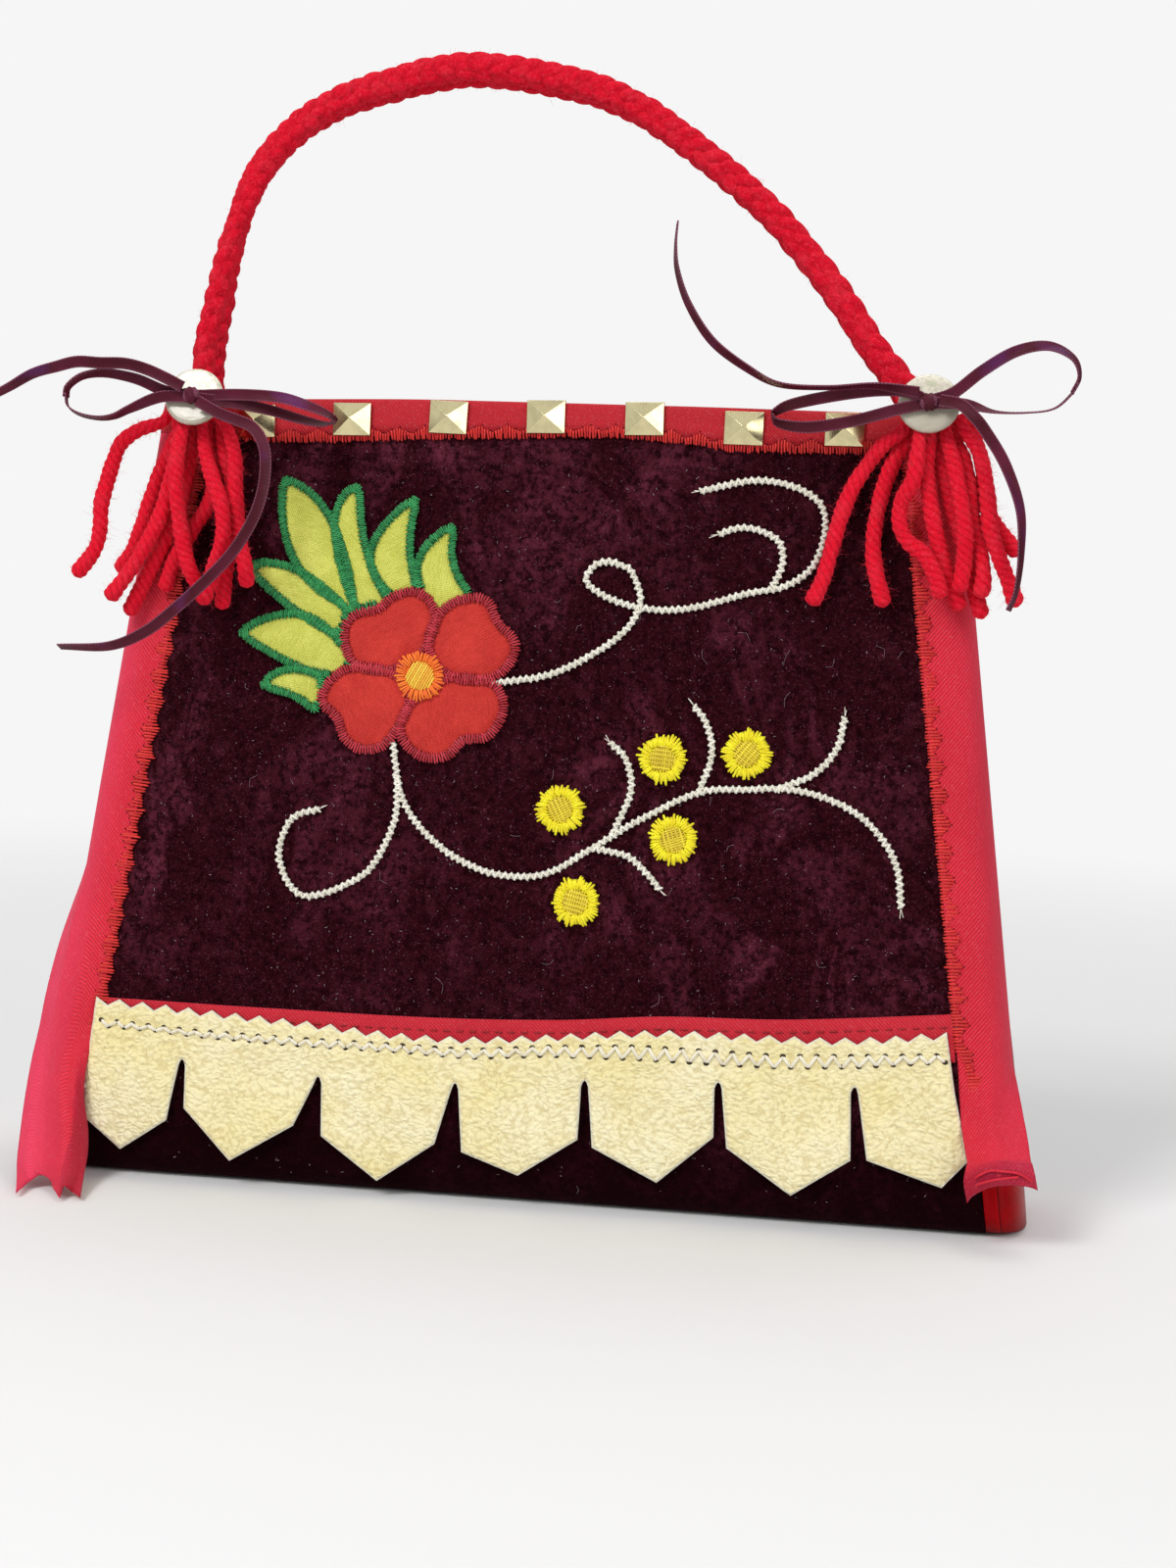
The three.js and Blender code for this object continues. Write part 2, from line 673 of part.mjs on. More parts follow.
// Yarn tassels, in the panel's frame from each button: across, up, and out from the velvet.
const strands = {
  left: [
    [[-9.3, -3.3, 3.1], [-10.9, -5.7, 3.4], [-17, -7.9, 3.5], [-21.6, -11.4, 3.4], [-23.5, -16.1, 3.4],
      [-25, -21.7, 3.4], [-26.3, -27.7, 3.4], [-26.3, -34.1, 3.4], [-27.6, -39.8, 3.4], [-32.6, -46.7, 3.4]],
    [[-5.6, -3.2, 3.1], [-6.4, -7.4, 3.2], [-8.7, -13.6, 3.2], [-11.3, -20.3, 3.4], [-13.3, -27.3, 3.4],
      [-15.1, -33.7, 3.4], [-17.4, -40, 3.4], [-20.9, -45.2, 3.4]],
    [[-6, -3.8, 6.7], [-5.2, -8.4, 6.7], [-5.6, -14.8, 6.7], [-6.9, -21.7, 6.8], [-8.3, -28.9, 7.4],
      [-11.1, -36.1, 7.8], [-15.7, -44.4, 7.8], [-21.6, -52.8, 7.8]],
    [[-1.9, -3.1, 3.4], [-1.9, -7.8, 3.9], [-2.5, -14.1, 3.2], [-4, -21.9, 3.4], [-5.7, -29.6, 3.4],
      [-9.3, -38.6, 3.5], [-13.3, -47, 3.4], [-17.6, -56.4, 3.4]],
    [[-2.3, -3.7, 7.9], [-3.2, -8.3, 9.9], [-3.9, -14.8, 10.7], [-4, -22.4, 10.5], [-3.4, -30, 8.6],
      [-2, -37.6, 8], [-0.1, -43.9, 7.9], [2.8, -49.3, 6.2]],
    [[1.9, -3, 3.1], [1.8, -7.7, 3.2], [2.8, -14, 3.2], [3.9, -20.3, 3.4], [2.6, -27, 3.4],
      [-1.5, -33.8, 3.4], [-5.6, -41.6, 3.4], [-8.1, -49.9, 3.4]],
    [[1.1, -3.6, 6.7], [1.4, -8.2, 7], [2.9, -14.6, 8], [5.5, -20.9, 9.4], [8.4, -27.4, 10.8],
      [9.3, -34.7, 10.7], [7.5, -42.3, 9.9], [4.2, -53.3, 9.9]],
    [[5.5, -2.9, 3.1], [5.4, -7.5, 4], [6.9, -13.9, 4.7], [8.8, -20.2, 4.2], [9.4, -26.8, 3.4],
      [9, -34.2, 3.4], [8.5, -43.1, 3.5], [7.7, -53.9, 3.5]],
    [[4.8, -3.5, 6.9], [8.5, -8.5, 7.5], [10.7, -15.1, 8.2], [11.1, -21.9, 8.1], [11.5, -28.2, 7.3],
      [12.6, -35.3, 7.1], [14.5, -42, 7.8], [15.6, -48.3, 7.8]],
  ],
  right: [
    [[-4.5, -1.9, 4.3], [-6.3, -6.4, 6], [-10.7, -9.7, 5.8], [-14.7, -14.7, 3.4], [-18.1, -20.5, 3.4],
      [-20.5, -27.2, 3.4], [-22.3, -34.6, 3.4], [-24.3, -43.3, 3.4], [-27.1, -50.3, 3.4]],
    [[-0.9, -1.8, 3.1], [-3.5, -7.3, 3.3], [-7.3, -11.8, 3.6], [-9.7, -17.8, 3.4], [-11.3, -24.4, 3.4],
      [-12.2, -31.8, 3.4], [-11.8, -39.1, 3.4], [-8.8, -50.1, 3.4]],
    [[-2.7, -2.4, 7.6], [-2, -7.5, 9.5], [-2.3, -13.7, 10.1], [-3, -19.1, 9.7], [-5.6, -24, 7.8],
      [-5.8, -29.4, 7.8], [-3.7, -33.7, 7.8], [0.8, -37.4, 9], [3.7, -42.6, 9.5], [5.4, -47.9, 9.4]],
    [[0.8, -2.3, 6.3], [0.6, -7.7, 6.7], [0.2, -14.9, 6.6], [1.1, -22.1, 6.8], [2.6, -29.3, 7.8],
      [4.7, -36.5, 6.5], [7.4, -43.7, 4.7], [10.1, -50.2, 4.7]],
    [[2.4, -1.7, 3.1], [2.3, -7.6, 3.3], [3.8, -14.2, 3.3], [5.8, -21.4, 3.4], [8.1, -28.7, 3.4],
      [10.8, -35.9, 3.4], [12.9, -43.9, 3.4], [15.7, -52, 3.4]],
    [[4.1, -2.2, 6.7], [4.6, -7.6, 7], [6.6, -13.5, 8.7], [8, -19.5, 9.7], [9.3, -25.5, 10],
      [10.4, -32.2, 9.7], [10.4, -38.8, 8.3], [9.5, -46.1, 8.9]],
    [[7.5, -2.1, 6.6], [9.1, -6, 6.9], [12.5, -10.9, 7.8], [14.4, -16.9, 7.9], [15.5, -23.3, 7.9],
      [16.4, -30.1, 8.9], [18.6, -36.3, 8.9], [21.5, -42.9, 7.8], [23.9, -49.1, 7.8]],
    [[9.1, -1.5, 3.1], [11.5, -6.6, 3.4], [13.7, -13.9, 3.3], [14.5, -21.2, 3.4], [16.2, -26.7, 3.4],
      [19.2, -30.5, 3.4], [21.8, -33.6, 3.4], [23.6, -36.2, 3.4]],
    [[5.7, -1.6, 3.1], [6.5, -7, 3.4], [9, -12.8, 5], [10.8, -20, 6], [11.8, -27.3, 6],
      [14, -34.6, 6.2], [15.3, -41.8, 7.4], [14.8, -47.2, 7.7]],
  ],
};

function makeStrand(side, points) {
  const [x, v] = buttonSpot(side);
  const curve = smooth(points.map((point) => [x + point[0], v + point[1], point[2]]));
  const length = curve.getLength();
  const section = (share) => {
    const grow = Math.min((share * length) / yarnTaper, 1);
    const radius = THREE.MathUtils.lerp(yarnRootRadius, yarnRadius, grow);
    return ellipse(radius, radius, 8);
  };
  return sweep(curve, Math.round(length / strandStep), section);
}

// Shell buttons: a thin domed disc with two holes, leaning in at the top.
function makeButton() {
  const half = buttonThickness / 2;
  const profile = [
    [0, -half],
    [buttonRadius - 0.6, -half],
    [buttonRadius, -0.2],
    [buttonRadius - 0.2, 0.3],
    [buttonRadius - 1.6, half],
    [0, half],
  ];
  const points = profile.map(([r, h]) => new THREE.Vector2(r, h));
  const body = new THREE.LatheGeometry(points, 20).rotateX(Math.PI / 2);
  const holes = [-1, 1].map((side) => {
    const hole = new THREE.CylinderGeometry(buttonHoleRadius, buttonHoleRadius, 4, 8);
    return hole.rotateX(Math.PI / 2).translate((side * buttonHoleSpacing) / 2, 0, 0);
  });
  return cut(body, holes);
}

// Bows: across, up and out from the button's middle, then the turn of the ribbon in degrees.
const bows = {
  left: {
    loops: [
      [[-1, 0, 2.2, 0], [-7.3, 1, 2.4, 10], [-14.3, 3.6, 3.8, 25], [-21.7, 4.6, 5.8, 50], [-27, 3.4, 8.2, 70],
        [-30.4, 0.4, 9.4, 80], [-30.9, -2.4, 9.4, 80]],
      [[-1, -0.4, 2.7, 0], [-8.1, -0.8, 3.4, 15], [-15.5, -4.1, 4.2, 60], [-19.4, -6.3, 5.2, 75],
        [-23.1, -7.1, 6.8, 80], [-27.4, -6.5, 8.4, 80], [-30.3, -4.6, 9.2, 80], [-30.9, -1.4, 9.4, 80]],
      [[1, 0, 2.4, 0], [12.8, 0.4, 3.2, 0], [23.4, -0.1, 4, 10], [30.4, -1.8, 4, 25],
        [36.2, -3.9, 2.8, 55], [37.8, -5.2, 1.2, 80]],
      [[1, -0.6, 2.5, 0], [7, -1.2, 2.7, 0], [13, -1.8, 2, 0], [20.6, -3, 0.4, 15], [27.4, -4.7, -0.6, 30],
        [34, -6, -0.4, 55], [37.4, -5.6, 0.6, 75], [37.8, -4.8, 1.6, 80]],
    ],
    tails: {
      out: [[-1.8, 1.8, 4.4, 0], [-6, 3.8, 5.2, 0], [-11.4, 5.9, 6.4, 5], [-16.5, 6.9, 7.6, 10],
        [-22.5, 6.7, 8.8, 10], [-28.5, 6.8, 9.2, 15], [-34.2, 5.4, 9, 30], [-40.6, 3.6, 8.2, 45],
        [-46.9, 0.3, 7.2, 60], [-51.5, -2, 6.8, 65]],
      down: [[2, -1.5, 3.9, 0], [8.1, -4.6, 4.6, 0], [13.4, -6.4, 5, 0], [17.1, -7.9, 5.2, 5],
        [19.8, -11, 5.2, 5], [21.1, -15.8, 4.8, 5], [20.8, -23.3, 4.6, 5], [18.6, -31.1, 4.6, 10],
        [13.9, -39.5, 4.6, 10], [7.5, -46.7, 4.2, 10], [-0.2, -54, 3.8, 15], [-8.8, -60.8, 2.8, 25],
        [-18.8, -65, 1.8, 45], [-32.7, -65.7, 0.8, 70]],
    },
  },
  right: {
    loops: [
      [[1, 0.6, 2, 0], [6.1, 2.6, 2.2, 0], [12.7, 7.9, 3.2, 0], [20.5, 12.6, 4.4, 10],
        [28.1, 13.8, 6, 30], [34, 10.8, 7.8, 55], [35.8, 6.2, 8.8, 75], [34.2, 2, 8.8, 80]],
      [[1, -0.2, 2.5, 0], [8.8, -0.4, 3.4, 20], [15.8, -2.4, 5.4, 70], [23.8, -2.6, 6.6, 80],
        [30.2, -1.6, 7.8, 80], [34.2, 2, 8.8, 80], [35.4, 4.6, 8.8, 80]],
      [[-1, 0.6, 2.4, 0], [-5.6, 2.4, 2.6, 0], [-13.4, 2.3, 3.4, 0], [-24.2, 0.6, 3.4, 5],
        [-34, -1.6, 2.4, 30], [-38.2, -3.6, 1.2, 70]],
      [[-1, -0.4, 2.5, 0], [-8, -2.2, 2.8, 0], [-18.8, -5, 0.8, 0], [-29.4, -6.6, -0.2, 15],
        [-36.6, -5.9, 0.2, 50], [-38.2, -4, 0.8, 75], [-38, -3, 1.6, 75]],
    ],
    tails: {
      down: [[2.8, 0.2, 4.7, 0], [7.7, -0.9, 6, 0], [11, -3.8, 7, 0], [14, -7.2, 6.2, 5],
        [19.2, -15, 4.4, 15], [23.3, -25.6, 4.2, 40], [24.1, -36.1, 4, 60], [23.4, -45.6, 3.4, 70],
        [21.7, -50.5, 3, 70]],
      up: [[-2.4, 2, 4.8, 30], [-13.2, 3.2, 5.4, 70], [-24.6, 2.4, 5.6, 80], [-36.4, 2.9, 5, 75],
        [-44.3, 6.5, 4.4, 60], [-53.8, 13.3, 3.8, 50], [-60.3, 22.4, 3.4, 55], [-63.6, 30.8, 3.2, 65],
        [-64.4, 37.2, 3, 75], [-64.2, 43.2, 2.8, 80]],
    },
  },
};

function makeBowRibbon(side, points) {
  const [x, v, height] = buttonSpot(side);
  const curve = smooth(points.map((point) => [x + point[0], v + point[1], height + point[2]]));
  const turns = smooth(points.map(([, , , turn], i) => [i, turn, 0]));
  const corners = [[-1, -1], [1, -1], [1, 1], [-1, 1]];
  const section = (share) => {
    const station = curve.getUtoTmapping(share);
    const angle = THREE.MathUtils.degToRad(turns.getPoint(station).y);
    return corners.map(([a, b]) => {
      const flat = new THREE.Vector2((a * bowWidth) / 2, (b * bowThickness) / 2);
      return flat.rotateAround(new THREE.Vector2(), angle).toArray();
    });
  };
  return sweep(curve, Math.round(curve.getLength() / bowStep), section);
}

function makeBow(side) {
  const [x, v, height] = buttonSpot(side);
  const knot = new THREE.SphereGeometry(knotRadius, 8, 6);
  knot.scale(1.1, 1.1, 0.7).translate(x, v, height + 2.7);
  const loops = bows[side].loops.map((points) => makeBowRibbon(side, points));
  return join([knot, ...loops]);
}

// Rope handles. The front one's centre line runs from the left foot over the arch: across as a
// share of half the mouth, out from where the ropes touch as a share of the feet's, and up from
// the rim. The rear one repeats it behind, a little wider at the left foot.
const ropeRoute = [
  [-1.0213, 1, -4.4], [-1.018, 0.965, 3.7], [-1.0157, 0.884, 12.4], [-0.9944, 0.78, 22.1],
  [-0.9697, 0.595, 34.3], [-0.9146, 0.318, 51.6], [-0.8315, 0.133, 64.1], [-0.6966, 0.029, 74.2],
  [-0.5157, 0, 80.5], [-0.273, 0, 84.7], [0.0258, 0, 81.2], [0.2079, 0.029, 75.5],
  [0.3708, 0.11, 66.3], [0.5427, 0.272, 54.5], [0.6697, 0.434, 43.8], [0.818, 0.699, 28.2],
  [0.9191, 0.861, 15.4], [0.9933, 0.942, 7.6], [1.0326, 0.965, 3.2],
];
const ropeTouch = handleDepth / 2 + ropeGap;
const footReach = (mouthDepth + footDepth) / 2 + footStandOff - ropeTouch;
const frontRope = ropeRoute.map(([across, out, up]) => [
  across * topHalfWidth,
  -ropeTouch - out * footReach,
  bagHeight + up,
]);

function makeHandle(points) {
  const curve = smooth(points);
  const length = curve.getLength();
  const { smoothstep, lerp } = THREE.MathUtils;
  const section = (share) => {
    const fromFoot = Math.min(share, 1 - share) * length;
    const full = smoothstep(fromFoot, 4, footLength);
    return ellipse(lerp(footWidth, handleWidth, full) / 2, lerp(footDepth, handleDepth, full) / 2, 8);
  };
  return sweep(curve, handleSteps, section, new THREE.Vector3(0, -1, 0));
}

function rearRope() {
  return frontRope.map(([x, y, z]) => {
    const spread = THREE.MathUtils.smoothstep(-x / topHalfWidth, 1 / 3, 1);
    return [x + rearFootShift * spread, -y, z];
  });
}

// Assembly

add(bag, "velvet_body", makeVelvetBody(), velvet);
for (const [name, side] of [["left", -1], ["right", 1]]) {
  add(bag, `side_gusset_${name}`, makeGusset(side), satin);
  add(bag, `side_ribbon_${name}`, makeSideRibbon(side), ribbonRed);
}
add(bag, "top_binding", makeBinding(), bindingRed);
add(bag, "handle_front", makeHandle(frontRope), ropeYarn);
add(bag, "handle_rear", makeHandle(rearRope()), ropeYarn);

add(front, "hem_ribbon", makeHem(), bindingRed);
add(front, "leather_fringe", makeFringe(), leather);

for (let i = 0; i < studCount; i += 1) {
  const base = new THREE.BoxGeometry(studWidth, studHeight, studBase).translate(0, 0, studBase / 2);
  const pyramid = new THREE.ConeGeometry(Math.SQRT1_2, studRise, 4, 1);
  pyramid.rotateY(Math.PI / 4).rotateX(Math.PI / 2).scale(studWidth, studHeight, 1);
  pyramid.translate(0, 0, studBase + studRise / 2);
  const stud = add(front, `stud_${i + 1}`, join([base, pyramid]), metal);
  const x = studShift + (i - (studCount - 1) / 2) * studPitch;
  const v = panelLength - bindingHeight / 2 - (studDrops[i] ?? 0);
  stud.position.set(x, v, 2 * clearance + bindingThickness);
}

makeFlower();
berries.forEach((centre, i) => add(front, `berry_${i + 1}`, makeBerry(centre), berryThread));
add(front, "upper_vine", join([vineStart, vineEnd, vineCurl].map(stem)), stemThread);
add(front, "lower_stem", join([stemMain, stemCurl, ...stemBranches].map(stem)), stemThread);

for (const side of ["left", "right"]) {
  strands[side].forEach((points, i) => {
    add(front, `tassel_${side}_${i + 1}`, makeStrand(side, points), yarn);
  });
  const button = add(front, `button_${side}`, makeButton(), shell);
  button.position.set(...buttonSpot(side));
  button.rotation.x = -buttonTilt;
  add(front, `bow_${side}`, makeBow(side), plum);
  for (const [name, points] of Object.entries(bows[side].tails)) {
    add(front, `bow_${side}_tail_${name}`, makeBowRibbon(side, points), plum);
  }
}

export default bag;
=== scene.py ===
"""A small velvet handbag with rope handles, yarn tassels, bows, flower work and a leather fringe.

Everything is drawn in millimetres and placed in metres, +Z up, with the front facing -Y. The
front panel has a frame of its own: x across, v up the leaning velvet and out away from it.
"""

import math

import bpy
import numpy as np
from bpy.props import FloatProperty, FloatVectorProperty, PointerProperty
from mathutils import Matrix, Vector
from mathutils.geometry import delaunay_2d_cdt

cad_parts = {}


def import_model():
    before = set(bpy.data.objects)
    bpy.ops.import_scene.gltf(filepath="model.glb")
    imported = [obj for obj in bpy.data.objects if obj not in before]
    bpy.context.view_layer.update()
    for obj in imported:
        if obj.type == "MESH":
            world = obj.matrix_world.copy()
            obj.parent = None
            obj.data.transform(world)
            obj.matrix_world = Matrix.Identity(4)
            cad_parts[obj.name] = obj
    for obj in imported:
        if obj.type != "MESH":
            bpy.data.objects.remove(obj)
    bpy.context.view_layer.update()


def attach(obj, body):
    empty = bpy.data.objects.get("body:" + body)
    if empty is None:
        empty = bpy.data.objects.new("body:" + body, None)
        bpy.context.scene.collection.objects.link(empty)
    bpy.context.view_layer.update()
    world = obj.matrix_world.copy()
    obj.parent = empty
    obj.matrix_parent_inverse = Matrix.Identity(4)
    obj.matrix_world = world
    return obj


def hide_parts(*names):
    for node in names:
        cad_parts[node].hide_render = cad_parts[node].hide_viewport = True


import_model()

bl_info = {
    "name": "Velvet Handbag",
    "version": (1, 0, 0),
    "blender": (4, 5, 0),
    "location": "3D View > Sidebar > Handbag",
    "description": "Makes a velvet handbag with rope handles, tassels and flower work",
    "category": "Object",
}

MM = 0.001
BAG_HEIGHT = 205.0
BOTTOM_DEPTH = 52.0
MOUTH_DEPTH = 16.0
BOTTOM_HALF_WIDTH = 117.5
TOP_HALF_WIDTH = 89.0
SEAM_ALLOWANCE = 3.0
BOTTOM_RADIUS = 8.0
GUSSET_BULGE = 10.2
GUSSET_ROUNDNESS = 3.0
CLEARANCE = 0.3
RIBBON_THICKNESS = 0.6
SIDE_RIBBON_WIDTH = 19.0
BINDING_HEIGHT = 8.7
BINDING_THICKNESS = 0.9
HEM_WIDTH = 12.0
LEATHER_THICKNESS = 1.3
PLAIT_WIDTH = 8.3

TAPER = (BOTTOM_DEPTH - MOUTH_DEPTH) / 2
LEAN = math.atan(TAPER / BAG_HEIGHT)
PANEL_LENGTH = math.hypot(BAG_HEIGHT, TAPER)
RIM_HEIGHT = BAG_HEIGHT - BINDING_THICKNESS - CLEARANCE

# Each button's middle on the front panel: across, up, and out from the velvet.
BUTTONS = {
    "left": (-TOP_HALF_WIDTH - 1.8, PANEL_LENGTH - 2.8, 11.2),
    "right": (TOP_HALF_WIDTH + 7.5, PANEL_LENGTH + 0.6, 10.4),
}

# Curves and surfaces


def smooth(points, step=None, count=None):
    """Points along a smooth curve through the given points, evenly spaced."""
    points = np.asarray(points, float)
    padded = np.vstack([2 * points[0] - points[1], points, 2 * points[-1] - points[-2]])
    shares = np.linspace(0, 1, 24, endpoint=False)[:, None]
    dense = []
    for a, b, c, d in zip(padded, padded[1:], padded[2:], padded[3:]):
        dense.append(0.5 * (2 * b + (c - a) * shares
                            + (2 * a - 5 * b + 4 * c - d) * shares ** 2
                            + (3 * b - a - 3 * c + d) * shares ** 3))
    return even(np.vstack(dense + [points[-1:]]), step, count)


def smooth_ring(points, step):
    """Evenly spaced points round a smooth closed curve, the first not repeated."""
    points = np.asarray(points, float)
    wrapped = np.vstack([points[-2:], points, points[:3]])
    dense = smooth(wrapped, count=60 * len(wrapped))
    away = np.linalg.norm(dense - points[0], axis=1)
    late = 2 * len(dense) // 3
    first, last = np.argmin(away[:len(dense) // 3]), late + np.argmin(away[late:])
    return even(dense[first:last + 1], step)[:-1]


def lengths(points):
    """Distance along a row of points, from its first."""
    steps = np.linalg.norm(np.diff(points, axis=0), axis=1)
    return np.concatenate([[0.0], np.cumsum(steps)])


def even(points, step=None, count=None):
    """The same line with evenly spaced points."""
    points = np.asarray(points, float)
    run = lengths(points)
    if count is None:
        count = max(2, int(round(run[-1] / step)) + 1)
    where = np.linspace(0, run[-1], count)
    return np.stack([np.interp(where, run, points[:, i]) for i in range(points.shape[1])], 1)


def unit(vectors):
    """The same vectors with a length of one."""
    vectors = np.asarray(vectors, float)
    return vectors / np.maximum(np.linalg.norm(vectors, axis=-1, keepdims=True), 1e-12)


def tangents(points):
    """The direction of a line at each of its points."""
    return unit(np.gradient(points, axis=0))


def turns(count):
    """Angles evenly spaced round a circle, in radians."""
    return np.arange(count) / count * 2 * math.pi


def joined(x, y, z=0.0):
    """Three arrays or numbers side by side, spread over one shape, as points or as lay."""
    return np.stack(np.broadcast_arrays(x, y, z), -1).astype(float)


def raised(points, height):
    """Points across and up the panel, with their height above it."""
    return joined(points[:, 0], points[:, 1], height)


def ease(low, high, value):
    """Nought below low, one above high, and a smooth rise between them."""
    share = np.clip((np.asarray(value, float) - low) / (high - low), 0, 1)
    return share * share * (3 - 2 * share)


def visible_edge(v):
    """Half of the width of velvet that shows between the side ribbons."""
    return BOTTOM_HALF_WIDTH + (TOP_HALF_WIDTH - BOTTOM_HALF_WIDTH) * v / PANEL_LENGTH


def relief(x, v):
    """The velvet's soft swell and dip, level along all its edges."""
    held = ease(0, 26, visible_edge(v) - np.abs(x)) * ease(6, 40, v) * ease(0, 22, 196 - v)
    broad = np.sin(x / 31 + 0.7) * np.sin(v / 27 - 0.6) + 0.6 * np.sin(x / 17 - v / 23 + 2.1)
    fine = 0.35 * np.sin(x / 9.5 + v / 13 + 0.4) * np.sin(v / 8.7 - x / 29)
    return held * (0.42 * broad + fine)


def world(points):
    """World metres for points in world millimetres."""
    return points * MM


def bare_panel(points):
    """World metres for points of the front panel: across, up and out."""
    x, v, out = np.asarray(points, float).T
    y = -BOTTOM_DEPTH / 2 + v * math.sin(LEAN) - out * math.cos(LEAN)
    return joined(x, y, v * math.cos(LEAN) + out * math.sin(LEAN)) * MM


def on_panel(points):
    """As bare_panel, for a piece that is sewn to the velvet and follows its relief."""
    points = np.array(points, float)
    points[:, 2] += relief(points[:, 0], points[:, 1])
    return bare_panel(points)


# Meshes


class Cloth:
    """Gathers the points, faces and lay of one mesh. The lay holds what a weave or twist
    follows: how far along, how far across, and a value that sets its tint."""

    def __init__(self):
        self.points = []
        self.faces = []
        self.lay = []
        self.count = 0

    def add(self, points, faces, lay=None):
        self.points.append(points)
        self.lay.append(np.zeros_like(points) if lay is None else lay.reshape(-1, 3))
        self.faces.extend(tuple(int(i) + self.count for i in face) for face in faces)
        self.count += len(points)

    def grid(self, points, lay, wrap=False):
        """A surface on rows of points in world millimetres. With wrap, each row closes on
        itself."""
        rows, columns = points.shape[:2]
        last = columns if wrap else columns - 1
        row, column = np.meshgrid(np.arange(rows - 1), np.arange(last), indexing="ij")
        a = (row * columns + column).ravel()
        b = (row * columns + (column + 1) % columns).ravel()
        faces = np.stack([a, b, b + columns, a + columns], 1)
        self.add(points.reshape(-1, 3) * MM, faces, lay)

    def tubes(self, rings, place, lay=None):
        """Closed tubes from an array of tube, station, point round it and coordinate. One tube
        alone may leave out the first. The rings are in the millimetres that place takes."""
        stations, around = rings.shape[-3:-1]
        size = stations * around
        one = []
        for s in range(0, size - around, around):
            for k in range(around):
                after = (k + 1) % around
                one.append((s + k, s + after, s + around + after, s + around + k))
        one += [tuple(reversed(range(around))), tuple(range(size - around, size))]
        points = place(rings.reshape(-1, 3))
        starts = range(0, len(points), size)
        self.add(points, [[i + start for i in face] for start in starts for face in one], lay)

    def piece(self, name, finish, slot, *nodes):
        """Makes the object, which rides on the bag and stands for the given nodes."""
        mesh = bpy.data.meshes.new(name)
        mesh.from_pydata(np.vstack(self.points).tolist(), [], self.faces)
        mesh.validate()
        lay = mesh.attributes.new("lay", "FLOAT_VECTOR", "POINT")
        lay.data.foreach_set("vector", np.vstack(self.lay).ravel())
        mesh.shade_smooth()
        mesh.materials.append(finish_of(finish))
        made = bpy.data.objects.new(name, mesh)
        bpy.context.scene.collection.objects.link(made)
        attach(made, "root")
        if nodes:
            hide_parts(*nodes)
        return made


def thicken(piece, thickness, offset=-1.0):
    """Gives a cloth piece its thickness, on the side that offset names."""
    solid = piece.modifiers.new("thickness", "SOLIDIFY")
    solid.thickness = thickness * MM
    solid.offset = offset


def ring_points(centres, side, up, radius_side, radius_up, around):
    """Elliptical rings round centres, given the two axes of each."""
    angle = turns(around)
    across = np.asarray(radius_side)[..., None, None] * np.cos(angle)[:, None] * side[..., None, :]
    lift = np.asarray(radius_up)[..., None, None] * np.sin(angle)[:, None] * up[..., None, :]
    return centres[..., None, :] + across + lift


def threads(cloth, starts, ends, width, lift, rng, around=5, tint=None):
    """Stitched threads, each an arched tube from its start to its end."""
    starts, ends = np.asarray(starts, float), np.asarray(ends, float)
    share = np.array([0.0, 0.1, 0.5, 0.9, 1.0])
    rise = np.array([0.0, 0.75, 1.0, 0.75, 0.0]) * lift
    size = np.array([0.55, 1.0, 1.0, 1.0, 0.55]) * width / 2
    along = ends - starts
    centres = starts[:, None] + along[:, None] * share[:, None]
    centres[..., 2] += rise
    side = np.repeat(unit(joined(along[:, 1], -along[:, 0]))[:, None], len(share), 1)
    up = np.zeros_like(side)
    up[..., 2] = 1
    radius = np.broadcast_to(size, side.shape[:2])
    rings = ring_points(centres, side, up, radius, radius, around)
    reach = np.linalg.norm(along, axis=1)[:, None, None] * share[:, None]
    if tint is None:
        tint = rng.random(len(starts))[:, None, None]
    cloth.tubes(rings, on_panel, joined(reach, np.arange(around) / around, tint))


def satin(path, width, pitch, out, rng, closed=False, ragged=0.12, slant=0.5, teeth=0.0):
    """Starts and ends of the stitches that cover a line on the panel. Those of a closed line are
    long and short by turns on its inner side, by teeth."""
    loop = np.vstack([path, path[:1]]) if closed else path
    run = lengths(loop)
    count = max(3, int(run[-1] / pitch))
    at = (np.arange(count) + 0.5) * run[-1] / count

    def spot(distance):
        if closed:
            distance = distance % run[-1]
        return np.stack([np.interp(distance, run, loop[:, i]) for i in (0, 1)], 1)

    width = np.interp(at, run, width) if np.ndim(width) else np.full(count, float(width))
    window = 0.5 * np.mean(width)
    heading = unit(spot(at + window) - spot(at - window))
    normal = np.stack([heading[:, 1], -heading[:, 0]], 1)
    half = (width / 2)[:, None]
    near = half * (1 + ragged * rng.uniform(-1, 1, count))[:, None]
    far = half * (1 + ragged * rng.uniform(-1, 1, count))[:, None]
    odd = (np.arange(count) % 2)[:, None]
    if closed:
        x, y = np.asarray(path, float).T
        if x @ np.roll(y, -1) > y @ np.roll(x, -1):
            near *= 1 - teeth * odd
        else:
            far *= 1 - teeth * odd
    lean = heading * slant * pitch * (odd * 2 - 1)
    centre = spot(at)
    return raised(centre - normal * near - lean, out), raised(centre + normal * far + lean, out)


def ridge(cloth, path, width, out, height, tint):
    """The padded core under a line of stitches."""
    heading = tangents(path)
    normal = np.stack([heading[:, 1], -heading[:, 0]], 1)
    profile = [(-0.5, 0.0), (-0.42, 0.6), (-0.2, 0.95), (0.2, 0.95), (0.42, 0.6), (0.5, 0.0)]
    rows = [raised(path + normal * across * width, out + rise * height)
            for across, rise in profile]
    lay = joined(lengths(path)[:, None], np.zeros(len(profile)), tint)
    cloth.tubes(np.stack(rows, 1), on_panel, lay)


